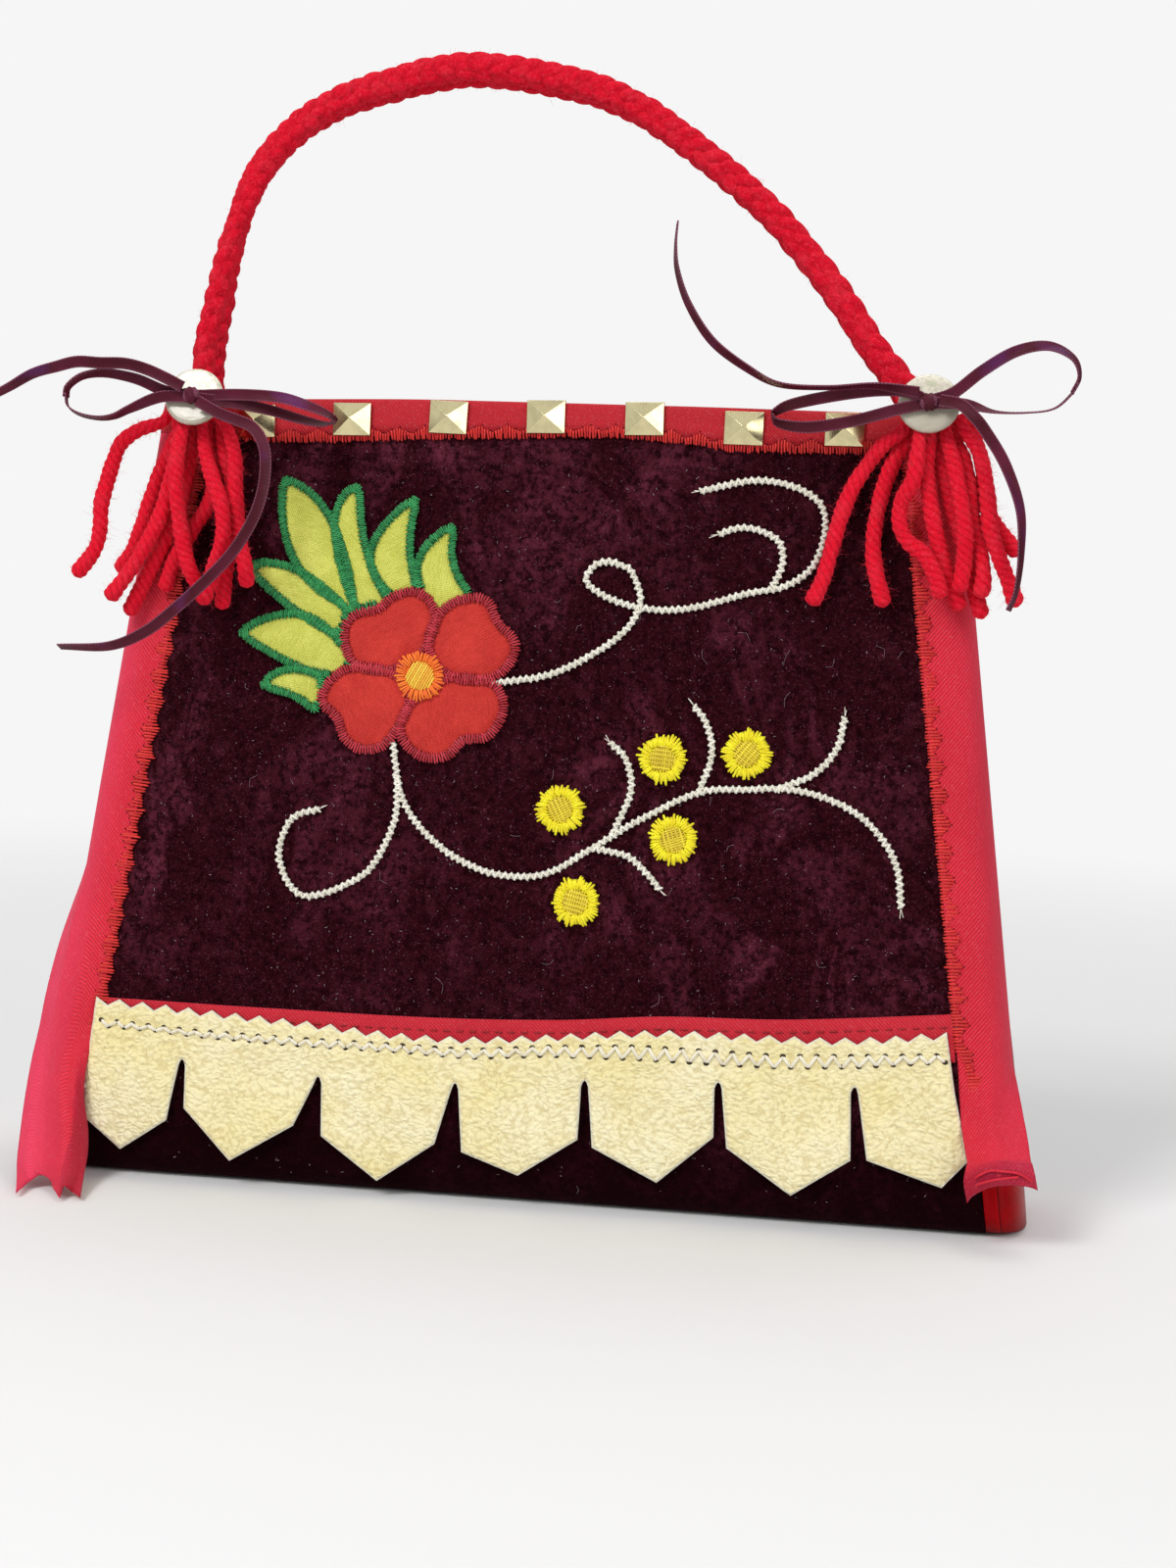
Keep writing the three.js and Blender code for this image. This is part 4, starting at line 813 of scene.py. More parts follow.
STRANDS = {
    "left": [
        [(-9.3, -3.3, 3.1), (-10.9, -5.7, 3.4), (-17, -7.9, 3.5), (-21.6, -11.4, 3.4),
         (-23.5, -16.1, 3.4), (-25, -21.7, 3.4), (-26.3, -27.7, 3.4), (-26.3, -34.1, 3.4),
         (-27.6, -39.8, 3.4), (-32.6, -46.7, 3.4)],
        [(-5.6, -3.2, 3.1), (-6.4, -7.4, 3.2), (-8.7, -13.6, 3.2), (-11.3, -20.3, 3.4),
         (-13.3, -27.3, 3.4), (-15.1, -33.7, 3.4), (-17.4, -40, 3.4), (-20.9, -45.2, 3.4)],
        [(-6, -3.8, 6.7), (-5.2, -8.4, 6.7), (-5.6, -14.8, 6.7), (-6.9, -21.7, 6.8),
         (-8.3, -28.9, 7.4), (-11.1, -36.1, 7.8), (-15.7, -44.4, 7.8), (-21.6, -52.8, 7.8)],
        [(-1.9, -3.1, 3.4), (-1.9, -7.8, 3.9), (-2.5, -14.1, 3.2), (-4, -21.9, 3.4),
         (-5.7, -29.6, 3.4), (-9.3, -38.6, 3.5), (-13.3, -47, 3.4), (-17.6, -56.4, 3.4)],
        [(-2.3, -3.7, 7.9), (-3.2, -8.3, 9.9), (-3.9, -14.8, 10.7), (-4, -22.4, 10.5),
         (-3.4, -30, 8.6), (-2, -37.6, 8), (-0.1, -43.9, 7.9), (2.8, -49.3, 6.2)],
        [(1.9, -3, 3.1), (1.8, -7.7, 3.2), (2.8, -14, 3.2), (3.9, -20.3, 3.4), (2.6, -27, 3.4),
         (-1.5, -33.8, 3.4), (-5.6, -41.6, 3.4), (-8.1, -49.9, 3.4)],
        [(1.1, -3.6, 6.7), (1.4, -8.2, 7), (2.9, -14.6, 8), (5.5, -20.9, 9.4), (8.4, -27.4, 10.8),
         (9.3, -34.7, 10.7), (7.5, -42.3, 9.9), (4.2, -53.3, 9.9)],
        [(5.5, -2.9, 3.1), (5.4, -7.5, 4), (6.9, -13.9, 4.7), (8.8, -20.2, 4.2), (9.4, -26.8, 3.4),
         (9, -34.2, 3.4), (8.5, -43.1, 3.5), (7.7, -53.9, 3.5)],
        [(4.8, -3.5, 6.9), (8.5, -8.5, 7.5), (10.7, -15.1, 8.2), (11.1, -21.9, 8.1),
         (11.5, -28.2, 7.3), (12.6, -35.3, 7.1), (14.5, -42, 7.8), (15.6, -48.3, 7.8)],
    ],
    "right": [
        [(-4.5, -1.9, 4.3), (-6.3, -6.4, 6), (-10.7, -9.7, 5.8), (-14.7, -14.7, 3.4),
         (-18.1, -20.5, 3.4), (-20.5, -27.2, 3.4), (-22.3, -34.6, 3.4), (-24.3, -43.3, 3.4),
         (-27.1, -50.3, 3.4)],
        [(-0.9, -1.8, 3.1), (-3.5, -7.3, 3.3), (-7.3, -11.8, 3.6), (-9.7, -17.8, 3.4),
         (-11.3, -24.4, 3.4), (-12.2, -31.8, 3.4), (-11.8, -39.1, 3.4), (-8.8, -50.1, 3.4)],
        [(-2.7, -2.4, 7.6), (-2, -7.5, 9.5), (-2.3, -13.7, 10.1), (-3, -19.1, 9.7),
         (-5.6, -24, 7.8), (-5.8, -29.4, 7.8), (-3.7, -33.7, 7.8), (0.8, -37.4, 9),
         (3.7, -42.6, 9.5), (5.4, -47.9, 9.4)],
        [(0.8, -2.3, 6.3), (0.6, -7.7, 6.7), (0.2, -14.9, 6.6), (1.1, -22.1, 6.8),
         (2.6, -29.3, 7.8), (4.7, -36.5, 6.5), (7.4, -43.7, 4.7), (10.1, -50.2, 4.7)],
        [(2.4, -1.7, 3.1), (2.3, -7.6, 3.3), (3.8, -14.2, 3.3), (5.8, -21.4, 3.4),
         (8.1, -28.7, 3.4), (10.8, -35.9, 3.4), (12.9, -43.9, 3.4), (15.7, -52, 3.4)],
        [(4.1, -2.2, 6.7), (4.6, -7.6, 7), (6.6, -13.5, 8.7), (8, -19.5, 9.7), (9.3, -25.5, 10),
         (10.4, -32.2, 9.7), (10.4, -38.8, 8.3), (9.5, -46.1, 8.9)],
        [(7.5, -2.1, 6.6), (9.1, -6, 6.9), (12.5, -10.9, 7.8), (14.4, -16.9, 7.9),
         (15.5, -23.3, 7.9), (16.4, -30.1, 8.9), (18.6, -36.3, 8.9), (21.5, -42.9, 7.8),
         (23.9, -49.1, 7.8)],
        [(9.1, -1.5, 3.1), (11.5, -6.6, 3.4), (13.7, -13.9, 3.3), (14.5, -21.2, 3.4),
         (16.2, -26.7, 3.4), (19.2, -30.5, 3.4), (21.8, -33.6, 3.4), (23.6, -36.2, 3.4)],
        [(5.7, -1.6, 3.1), (6.5, -7, 3.4), (9, -12.8, 5), (10.8, -20, 6), (11.8, -27.3, 6),
         (14, -34.6, 6.2), (15.3, -41.8, 7.4), (14.8, -47.2, 7.7)],
    ],
}

# Bows: across, up and out from the button's middle, then the ribbon's turn in degrees
BOWS = {
    "left": {
        "loops": [
            [(-1, 0, 2.2, 0), (-7.3, 1, 2.4, 10), (-14.3, 3.6, 3.8, 25), (-21.7, 4.6, 5.8, 50),
             (-27, 3.4, 8.2, 70), (-30.4, 0.4, 9.4, 80), (-30.9, -2.4, 9.4, 80)],
            [(-1, -0.4, 2.7, 0), (-8.1, -0.8, 3.4, 15), (-15.5, -4.1, 4.2, 60),
             (-19.4, -6.3, 5.2, 75), (-23.1, -7.1, 6.8, 80), (-27.4, -6.5, 8.4, 80),
             (-30.3, -4.6, 9.2, 80), (-30.9, -1.4, 9.4, 80)],
            [(1, 0, 2.4, 0), (12.8, 0.4, 3.2, 0), (23.4, -0.1, 4, 10), (30.4, -1.8, 4, 25),
             (36.2, -3.9, 2.8, 55), (37.8, -5.2, 1.2, 80)],
            [(1, -0.6, 2.5, 0), (7, -1.2, 2.7, 0), (13, -1.8, 2, 0), (20.6, -3, 0.4, 15),
             (27.4, -4.7, -0.6, 30), (34, -6, -0.4, 55), (37.4, -5.6, 0.6, 75),
             (37.8, -4.8, 1.6, 80)],
        ],
        "tails": {
            "out": [(-1.8, 1.8, 4.4, 0), (-6, 3.8, 5.2, 0), (-11.4, 5.9, 6.4, 5),
                 (-16.5, 6.9, 7.6, 10), (-22.5, 6.7, 8.8, 10), (-28.5, 6.8, 9.2, 15),
                 (-34.2, 5.4, 9, 30), (-40.6, 3.6, 8.2, 45), (-46.9, 0.3, 7.2, 60),
                 (-51.5, -2, 6.8, 65)],
            "down": [(2, -1.5, 3.9, 0), (8.1, -4.6, 4.6, 0), (13.4, -6.4, 5, 0), (17.1, -7.9, 5.2, 5),
                 (19.8, -11, 5.2, 5), (21.1, -15.8, 4.8, 5), (20.8, -23.3, 4.6, 5),
                 (18.6, -31.1, 4.6, 10), (13.9, -39.5, 4.6, 10), (7.5, -46.7, 4.2, 10),
                 (-0.2, -54, 3.8, 15), (-8.8, -60.8, 2.8, 25), (-18.8, -65, 1.8, 45),
                 (-32.7, -65.7, 0.8, 70)],
        },
    },
    "right": {
        "loops": [
            [(1, 0.6, 2, 0), (6.1, 2.6, 2.2, 0), (12.7, 7.9, 3.2, 0), (20.5, 12.6, 4.4, 10),
             (28.1, 13.8, 6, 30), (34, 10.8, 7.8, 55), (35.8, 6.2, 8.8, 75), (34.2, 2, 8.8, 80)],
            [(1, -0.2, 2.5, 0), (8.8, -0.4, 3.4, 20), (15.8, -2.4, 5.4, 70), (23.8, -2.6, 6.6, 80),
             (30.2, -1.6, 7.8, 80), (34.2, 2, 8.8, 80), (35.4, 4.6, 8.8, 80)],
            [(-1, 0.6, 2.4, 0), (-5.6, 2.4, 2.6, 0), (-13.4, 2.3, 3.4, 0), (-24.2, 0.6, 3.4, 5),
             (-34, -1.6, 2.4, 30), (-38.2, -3.6, 1.2, 70)],
            [(-1, -0.4, 2.5, 0), (-8, -2.2, 2.8, 0), (-18.8, -5, 0.8, 0), (-29.4, -6.6, -0.2, 15),
             (-36.6, -5.9, 0.2, 50), (-38.2, -4, 0.8, 75), (-38, -3, 1.6, 75)],
        ],
        "tails": {
            "down": [(2.8, 0.2, 4.7, 0), (7.7, -0.9, 6, 0), (11, -3.8, 7, 0), (14, -7.2, 6.2, 5),
                 (19.2, -15, 4.4, 15), (23.3, -25.6, 4.2, 40), (24.1, -36.1, 4, 60),
                 (23.4, -45.6, 3.4, 70), (21.7, -50.5, 3, 70)],
            "up": [(-2.4, 2, 4.8, 30), (-13.2, 3.2, 5.4, 70), (-24.6, 2.4, 5.6, 80),
                 (-36.4, 2.9, 5, 75), (-44.3, 6.5, 4.4, 60), (-53.8, 13.3, 3.8, 50),
                 (-60.3, 22.4, 3.4, 55), (-63.6, 30.8, 3.2, 65), (-64.4, 37.2, 3, 75),
                 (-64.2, 43.2, 2.8, 80)],
        },
    },
}

# The handles: across as a share of half the mouth, out as a share of the feet's, and up from
# the bag's top
ROPE_ROUTE = [
    (-1.0213, 1, -4.4), (-1.018, 0.965, 3.7), (-1.0157, 0.884, 12.4), (-0.9944, 0.78, 22.1),
    (-0.9697, 0.595, 34.3), (-0.9146, 0.318, 51.6), (-0.8315, 0.133, 64.1), (-0.6966, 0.029, 74.2),
    (-0.5157, 0, 80.5), (-0.273, 0, 84.7), (0.0258, 0, 81.2), (0.2079, 0.029, 75.5),
    (0.3708, 0.11, 66.3), (0.5427, 0.272, 54.5), (0.6697, 0.434, 43.8), (0.818, 0.699, 28.2),
    (0.9191, 0.861, 15.4), (0.9933, 0.942, 7.6), (1.0326, 0.965, 3.2),
]

PERIOD = {"scallop": 7.1, "ply": 8.6, "plait": 18.0}

# Each finish: the function that makes it, the material's name, and that function's colours and
# other values. A colour in words is the one that the user sets under that name.
RECIPES = {
    "velvet": (velvet_finish, "velvet", "velvet", "bloom"),
    # The last value of each side ribbon is its painted pink sheen towards the outer side.
    "ribbon_left": (twill_finish, "left_ribbon", "ribbon", "ribbon_shade", 0.6, 0.7, 0.75, 0.45),
    "ribbon_right": (twill_finish, "right_ribbon", "ribbon", "ribbon_shade", 0.6, 0.7, 0.85, 0.12),
    "binding": (twill_finish, "binding_ribbon", "binding", "binding_shade", 0.66, 0.6),
    "hem": (twill_finish, "hem_ribbon", (0.92, 0.046, 0.055), (0.58, 0.014, 0.02), 0.66),
    "gusset": (satin_finish, "gusset_satin", "gusset"),
    "hide": (hide_finish, "cream_hide", "hide", "hide_shade", "hide_pale"),
    "stud": (metal_finish, "plated_metal", "stud"),
    "shell": (pearl_finish, "mother_of_pearl", "shell"),
    "bow": (bow_finish, "plum_ribbon", "bow", "bow_rim"),
    # The last value of the rope and the tassel is how deep the painted shade between the plies goes.
    "rope": (wool_finish, "rope_yarn", "rope", "wool_shade", "wool_glow", 0.5),
    "tassel": (wool_finish, "tassel_yarn", "tassel", (0.72, 0.003, 0.018), "wool_glow", 0.8),
    "leaf": (cotton_finish, "leaf_cotton", "leaf", (0.50, 0.52, 0.06)),
    "leaf_edge": (thread_finish, "leaf_thread", "leaf_edge", (0.06, 0.46, 0.14)),
    "petal": (cotton_finish, "petal_cotton", "petal", (0.50, 0.022, 0.018)),
    "petal_edge": (thread_finish, "petal_thread", "petal_edge", (0.72, 0.05, 0.08)),
    "ring": (thread_finish, "ring_thread", "ring", (0.85, 0.12, 0.02)),
    "heart": (thread_finish, "heart_thread", "heart", (0.88, 0.36, 0.03)),
    "berry": (thread_finish, "berry_thread", "berry", (0.84, 0.64, 0.012)),
    "berry_heart": (thread_finish, "berry_heart_thread", "berry_heart", (0.60, 0.40, 0.03)),
    "stem": (thread_finish, "stem_thread", "stem", (0.72, 0.68, 0.54)),
    "seam": (thread_finish, "seam_thread", "seam", (0.50, 0.014, 0.016)),
    "hem_thread": (thread_finish, "hem_thread", (0.30, 0.006, 0.012), (0.4, 0.01, 0.02)),
    "cream": (thread_finish, "cream_thread", "cream", (0.80, 0.72, 0.52)),
    # Needle holes are painted near black, as the shade inside them.
    "hole": (plain_finish, "needle_hole", (0.07, 0.05, 0.03)),
    "red_hole": (plain_finish, "ribbon_needle_hole", (0.08, 0.004, 0.006)),
    "haze": (plain_finish, "yarn_haze", (0.80, 0.05, 0.08)),
    "lint": (plain_finish, "lint_fibre", (0.44, 0.36, 0.39)),
}
FINISHES = {}


def set_colour(value):
    """The colour that the user sets under this name, or the value itself if it is no name."""
    if not isinstance(value, str):
        return value
    group = cloths() if value in ClothColours.__annotations__ else yarns()
    return list(getattr(group, value))


def finish_of(name):
    """The finish with this name, made the first time that it is asked for."""
    if name not in FINISHES:
        make, title, *values = RECIPES[name]
        FINISHES[name] = make(title, *map(set_colour, values))
    return FINISHES[name]


# Body shape


def velvet_edge(z):
    """Half of the velvet's width at a height, with its seam allowance."""
    return visible_edge(z / math.cos(LEAN)) + SEAM_ALLOWANCE


ROUNDING = BOTTOM_RADIUS * (1 + math.sin(LEAN))
ROUNDING_Y = -BOTTOM_DEPTH / 2 + ROUNDING / math.cos(LEAN)


def half_depth(z):
    """Half of the bag's depth at a height."""
    if z >= ROUNDING:
        return BOTTOM_DEPTH / 2 - z * math.tan(LEAN)
    return math.sqrt(max(BOTTOM_RADIUS ** 2 - (BOTTOM_RADIUS - z) ** 2, 0)) - ROUNDING_Y


def gusset_curve(side, z, grow, steps):
    """Points of one gusset's section at a height, from its front edge round to its back."""
    power = 2 / GUSSET_ROUNDNESS
    angle = np.linspace(-math.pi / 2, math.pi / 2, steps + 1)
    out = (GUSSET_BULGE + grow) * np.abs(np.cos(angle)) ** power
    across = (half_depth(z) + grow) * np.sign(angle) * np.abs(np.sin(angle)) ** power
    return joined(side * (velvet_edge(z) + CLEARANCE + out), across, z)


def body_profile(step):
    """Points down the front, round the base and up the back, as y and z."""
    top = PANEL_LENGTH * RIM_HEIGHT / BAG_HEIGHT
    low = ROUNDING / math.cos(LEAN)
    down = np.linspace(top, low, int((top - low) / step))
    front = np.stack([-BOTTOM_DEPTH / 2 + down * math.sin(LEAN), down * math.cos(LEAN)], 1)
    angle = np.linspace(math.pi - LEAN, 1.5 * math.pi, 9)[1:]
    bend = np.stack([ROUNDING_Y + BOTTOM_RADIUS * np.cos(angle),
                     BOTTOM_RADIUS + BOTTOM_RADIUS * np.sin(angle)], 1)
    half = np.vstack([front, bend])
    across = np.linspace(ROUNDING_Y, -ROUNDING_Y, int(-2 * ROUNDING_Y / step) + 1)[1:-1]
    base = np.stack([across, np.zeros(len(across))], 1)
    return np.vstack([half, base, (half * (-1, 1))[::-1]])


class BAG_OT_camera(bpy.types.Operator):
    """Sets the camera at the photograph's viewing angle"""

    bl_idname = "bag.camera"
    bl_label = "Camera"

    def execute(self, context):
        turn, rise, roll = (math.radians(a) for a in (8.7, 5.0, 2.1))
        distance = 650.0
        ahead = np.array([-math.sin(turn) * math.cos(rise), math.cos(turn) * math.cos(rise),
                          -math.sin(rise)])
        level = np.array([math.cos(turn), math.sin(turn), 0.0])
        upright = np.cross(level, ahead)
        right = math.cos(roll) * level + math.sin(roll) * upright
        up = math.cos(roll) * upright - math.sin(roll) * level
        seat = np.array([14.4, -14.0, 108.0]) - distance * ahead
        lens = bpy.data.cameras.new("camera")
        lens.sensor_fit = "VERTICAL"
        lens.sensor_height = 36.0
        lens.lens = 58.25
        lens.clip_start = 0.01
        eye = bpy.data.objects.new("camera", lens)
        axes = Matrix([[right[i], up[i], -ahead[i]] for i in range(3)]).to_4x4()
        eye.matrix_world = Matrix.Translation(Vector(seat * MM)) @ axes
        context.scene.collection.objects.link(eye)
        context.scene.camera = eye
        return {"FINISHED"}


def strip_frames(path, facing, turn=None):
    """The two axes across a line: one level with facing and one towards it, or both of them
    turned about the line by an angle at each point."""
    heading = tangents(path)
    side = unit(np.cross(heading, facing))
    up = np.cross(side, heading)
    if turn is None:
        return side, up
    cos, sin = np.cos(turn)[:, None], np.sin(turn)[:, None]
    return side * cos + up * sin, up * cos - side * sin


def yarn_rings(path, axes, angle, size):
    """Rings round a line, of the size given at each of its points and angles."""
    across, up = axes
    return path[:, None] + size[..., None] * (
        np.cos(angle)[:, None] * across[:, None] + np.sin(angle)[:, None] * up[:, None])


def hairs(cloth, path, rings, first, count, length, rng, place):
    """Fine loose fibres that stand off from the rings round a path, most of them short, each a
    thin curved tube."""
    where = rng.integers(first, len(path) - 2, count)
    roots = rings[where, rng.integers(0, rings.shape[1], count)]
    start = unit(unit(roots - path[where]) + 0.9 * unit(rng.normal(size=(count, 3))))
    bend = unit(rng.normal(size=(count, 3)))
    reach = (length * (0.25 + 0.75 * rng.random(count) ** 3))[:, None, None]
    share = np.linspace(0, 1, 3)[:, None]
    centres = roots[:, None] + reach * (share * start[:, None] + 0.5 * share ** 2 * bend[:, None])
    heading = unit(start + 0.5 * bend)
    side = unit(np.cross(heading, rng.normal(size=(count, 3))))
    up = np.cross(heading, side)
    size = np.broadcast_to(0.03 * np.array([1.0, 0.8, 0.4]), (count, 3))
    axes = [np.repeat(axis[:, None], 3, 1) for axis in (side, up)]
    cloth.tubes(ring_points(centres, *axes, size, size, 3), place)


class BAG_OT_tassels(bpy.types.Operator):
    """Lays the loose yarn ends that hang below both buttons"""

    bl_idname = "bag.tassels"
    bl_label = "Tassels"

    def execute(self, context):
        rng = np.random.default_rng(11)
        radius = sizes().yarn / 2
        haze = Cloth()
        for side, strands in STRANDS.items():
            seat = np.array(BUTTONS[side]) * (1, 1, 0)
            for i, points in enumerate(strands):
                path = smooth(np.array(points) + seat, step=0.55)
                run = lengths(path)
                thick = radius * (0.71 + 0.29 * ease(0, 14, run))
                thick *= 1 + 0.04 * np.sin(run / 4.1 + rng.uniform(0, 6))
                thick *= 1 + 0.03 * np.sin(run / 1.3 + rng.uniform(0, 6))
                thick *= 1 + 0.06 * ease(run[-1] - 7, run[-1] - 2, run)
                tip = np.clip((run - run[-1] + 1.9) / 1.9, 0, 1)
                thick *= np.sqrt(np.maximum(1 - tip ** 2, 0.02))
                angle = turns(24)
                turn = run * 2 * math.pi / PERIOD["ply"] + rng.uniform(0, 6)
                turn += 0.35 * np.sin(run / 3.7 + rng.uniform(0, 6))
                lobe = np.abs(np.cos(2 * (angle - turn[:, None]))) ** 0.9
                rings = yarn_rings(path, strip_frames(path, (0, 0, 1)), angle,
                                   thick[:, None] * (0.80 + 0.20 * lobe))
                strand = Cloth()
                strand.tubes(rings, bare_panel, joined(run[:, None], angle / (2 * math.pi), lobe))
                piece = strand.piece(f"yarn_{side}_{i + 1}", "tassel", "tassel_yarn",
                                     f"tassel_{side}_{i + 1}")
                route = bare_panel(path)
                hairs(haze, path, rings, first=4, count=480, length=2.6, rng=rng, place=bare_panel)
        haze.piece("tassel_haze", "haze", "tassel_yarn")
        return {"FINISHED"}


def bow_strip(cloth, button, points, width):
    """A narrow ribbon along a route from a button. Returns the route."""
    points = np.array(points, float)
    path = smooth(points[:, :3] + np.array(button), step=0.5)
    knots = smooth(points, count=len(points) * 24)
    share = lengths(knots[:, :3]) / lengths(knots[:, :3])[-1]
    turn = np.radians(np.interp(np.linspace(0, 1, len(path)), share, knots[:, 3]))
    flat, lift = strip_frames(path, (0, 0, 1), turn)
    top = [(-0.5, 0.0), (-0.465, 0.22), (-0.40, 0.13), (0.0, 0.15), (0.40, 0.13), (0.465, 0.22),
           (0.5, 0.0)]
    section = np.array(top + [(a, -b) for a, b in top[-2:0:-1]])
    rings = (path[:, None] + section[:, :1] * width * flat[:, None]
             + section[:, 1:] * lift[:, None])
    cloth.tubes(rings, bare_panel, joined(lengths(path)[:, None], section[:, 0] * width))
    return path


def bow_knot(cloth, button, rng):
    """The pleated band that ties a bow, with a second turn across it."""
    for tilt, size in ((0.12, (2.3, 2.2, 1.7)), (0.75, (1.5, 2.4, 1.9))):
        u, v = np.meshgrid(np.linspace(0, 2 * math.pi, 28, endpoint=False),
                           np.linspace(0.08, math.pi - 0.08, 17), indexing="xy")
        pleat = 1 + 0.09 * np.sin(9 * (v + 0.15 * np.sin(2 * u)) + rng.uniform(0, 6))
        x = np.cos(v) * size[0]
        y = np.sin(v) * np.cos(u) * size[1] * pleat
        z = np.sin(v) * np.sin(u) * size[2] * pleat
        points = joined(x * math.cos(tilt) - y * math.sin(tilt),
                        x * math.sin(tilt) + y * math.cos(tilt), z + 2.6) + button
        cloth.tubes(points, bare_panel, joined(u * size[1], x))


class BAG_OT_bows(bpy.types.Operator):
    """Ties the plum ribbon bows over both buttons"""

    bl_idname = "bag.bows"
    bl_label = "Bows"

    def execute(self, context):
        rng = np.random.default_rng(5)
        width = sizes().bow_width
        for side, bow in BOWS.items():
            for name, points in bow["tails"].items():
                tail = Cloth()
                path = bow_strip(tail, BUTTONS[side], points, width)
                piece = tail.piece(f"ribbon_end_{side}_{name}", "bow", "bow_ribbon",
                                   f"bow_{side}_tail_{name}")
                route = bare_panel(path)
            loops = Cloth()
            for points in bow["loops"]:
                bow_strip(loops, BUTTONS[side], points, width)
            bow_knot(loops, np.array(BUTTONS[side]), rng)
            loops.piece(f"tied_bow_{side}", "bow", "bow_ribbon", f"bow_{side}")
        return {"FINISHED"}


class BAG_OT_velvet(bpy.types.Operator):
    """Makes the velvet front, base and back as one soft piece"""

    bl_idname = "bag.velvet"
    bl_label = "Velvet body"

    def execute(self, context):
        profile = body_profile(2.2)
        shares = np.linspace(-1, 1, 108)
        rows = []
        for y, z in profile:
            x = shares * velvet_edge(z)
            # The back's relief is the front's mirrored and moved, so that the two differ.
            push = relief(x if y < 0 else 31 - x, np.full_like(x, z / math.cos(LEAN)))
            facing = -1 if y < 0 else 1
            rows.append(joined(x, y + facing * push * math.cos(LEAN), z + push * math.sin(LEAN)))
        grid = np.array(rows)[::-1]
        run = lengths(profile)
        cloth = Cloth()
        cloth.grid(grid, joined(grid[..., 0], run[::-1, None]))
        body = cloth.piece("velvet", "velvet", "velvet", "velvet_body")
        thicken(body, 2.0)
        return {"FINISHED"}


class BAG_OT_gussets(bpy.types.Operator):
    """Makes the glossy satin ends of the bag"""

    bl_idname = "bag.gussets"
    bl_label = "Gussets"

    def execute(self, context):
        for name, side in (("left", -1), ("right", 1)):
            heights = np.concatenate([np.linspace(0.02, ROUNDING, 10),
                                      np.linspace(ROUNDING, RIM_HEIGHT, 70)[1:]])
            steps = 40
            wall = np.array([gusset_curve(side, z, 0, steps) for z in heights])
            angle = np.linspace(-math.pi / 2, math.pi / 2, steps + 1)
            swell = 0.5 * np.sin(heights / 19)[:, None] * np.cos(angle)[None] ** 2
            wall[..., 0] += side * (swell - 0.35 * np.exp(-(angle / 0.06) ** 2)[None])
            middle = np.array([side * (velvet_edge(0) + CLEARANCE), 0, 0.02])
            floor = np.array([middle + (wall[0] - middle) * share
                              for share in (0.02, 0.3, 0.6, 0.85)])
            floor[..., 2] = 0.02
            grid = np.concatenate([floor, wall])
            run = np.concatenate([[-4, -3, -2, -1], heights])
            lay = joined(run[:, None], angle * 20)
            cloth = Cloth()
            cloth.grid(grid[:, ::side], lay[:, ::side])
            piece = cloth.piece(f"gusset_{name}", "gusset", "gusset_satin", f"side_gusset_{name}")
            thicken(piece, 1.4)
        return {"FINISHED"}


def along_row(row, distances):
    """Points at set distances along a row of points."""
    run = lengths(row)
    return np.stack([np.interp(distances, run, row[:, i]) for i in range(3)], 1)


RIBBON_COLUMNS = 33


def ribbon_row(side, z):
    """One row across a side ribbon, from its inner edge over the velvet and round the gusset."""
    curve = gusset_curve(side, z, CLEARANCE, 60)
    edge = np.array([[side * visible_edge(z / math.cos(LEAN)), curve[0, 1], z]])
    return along_row(np.vstack([edge, curve]), np.linspace(0, SIDE_RIBBON_WIDTH, RIBBON_COLUMNS))


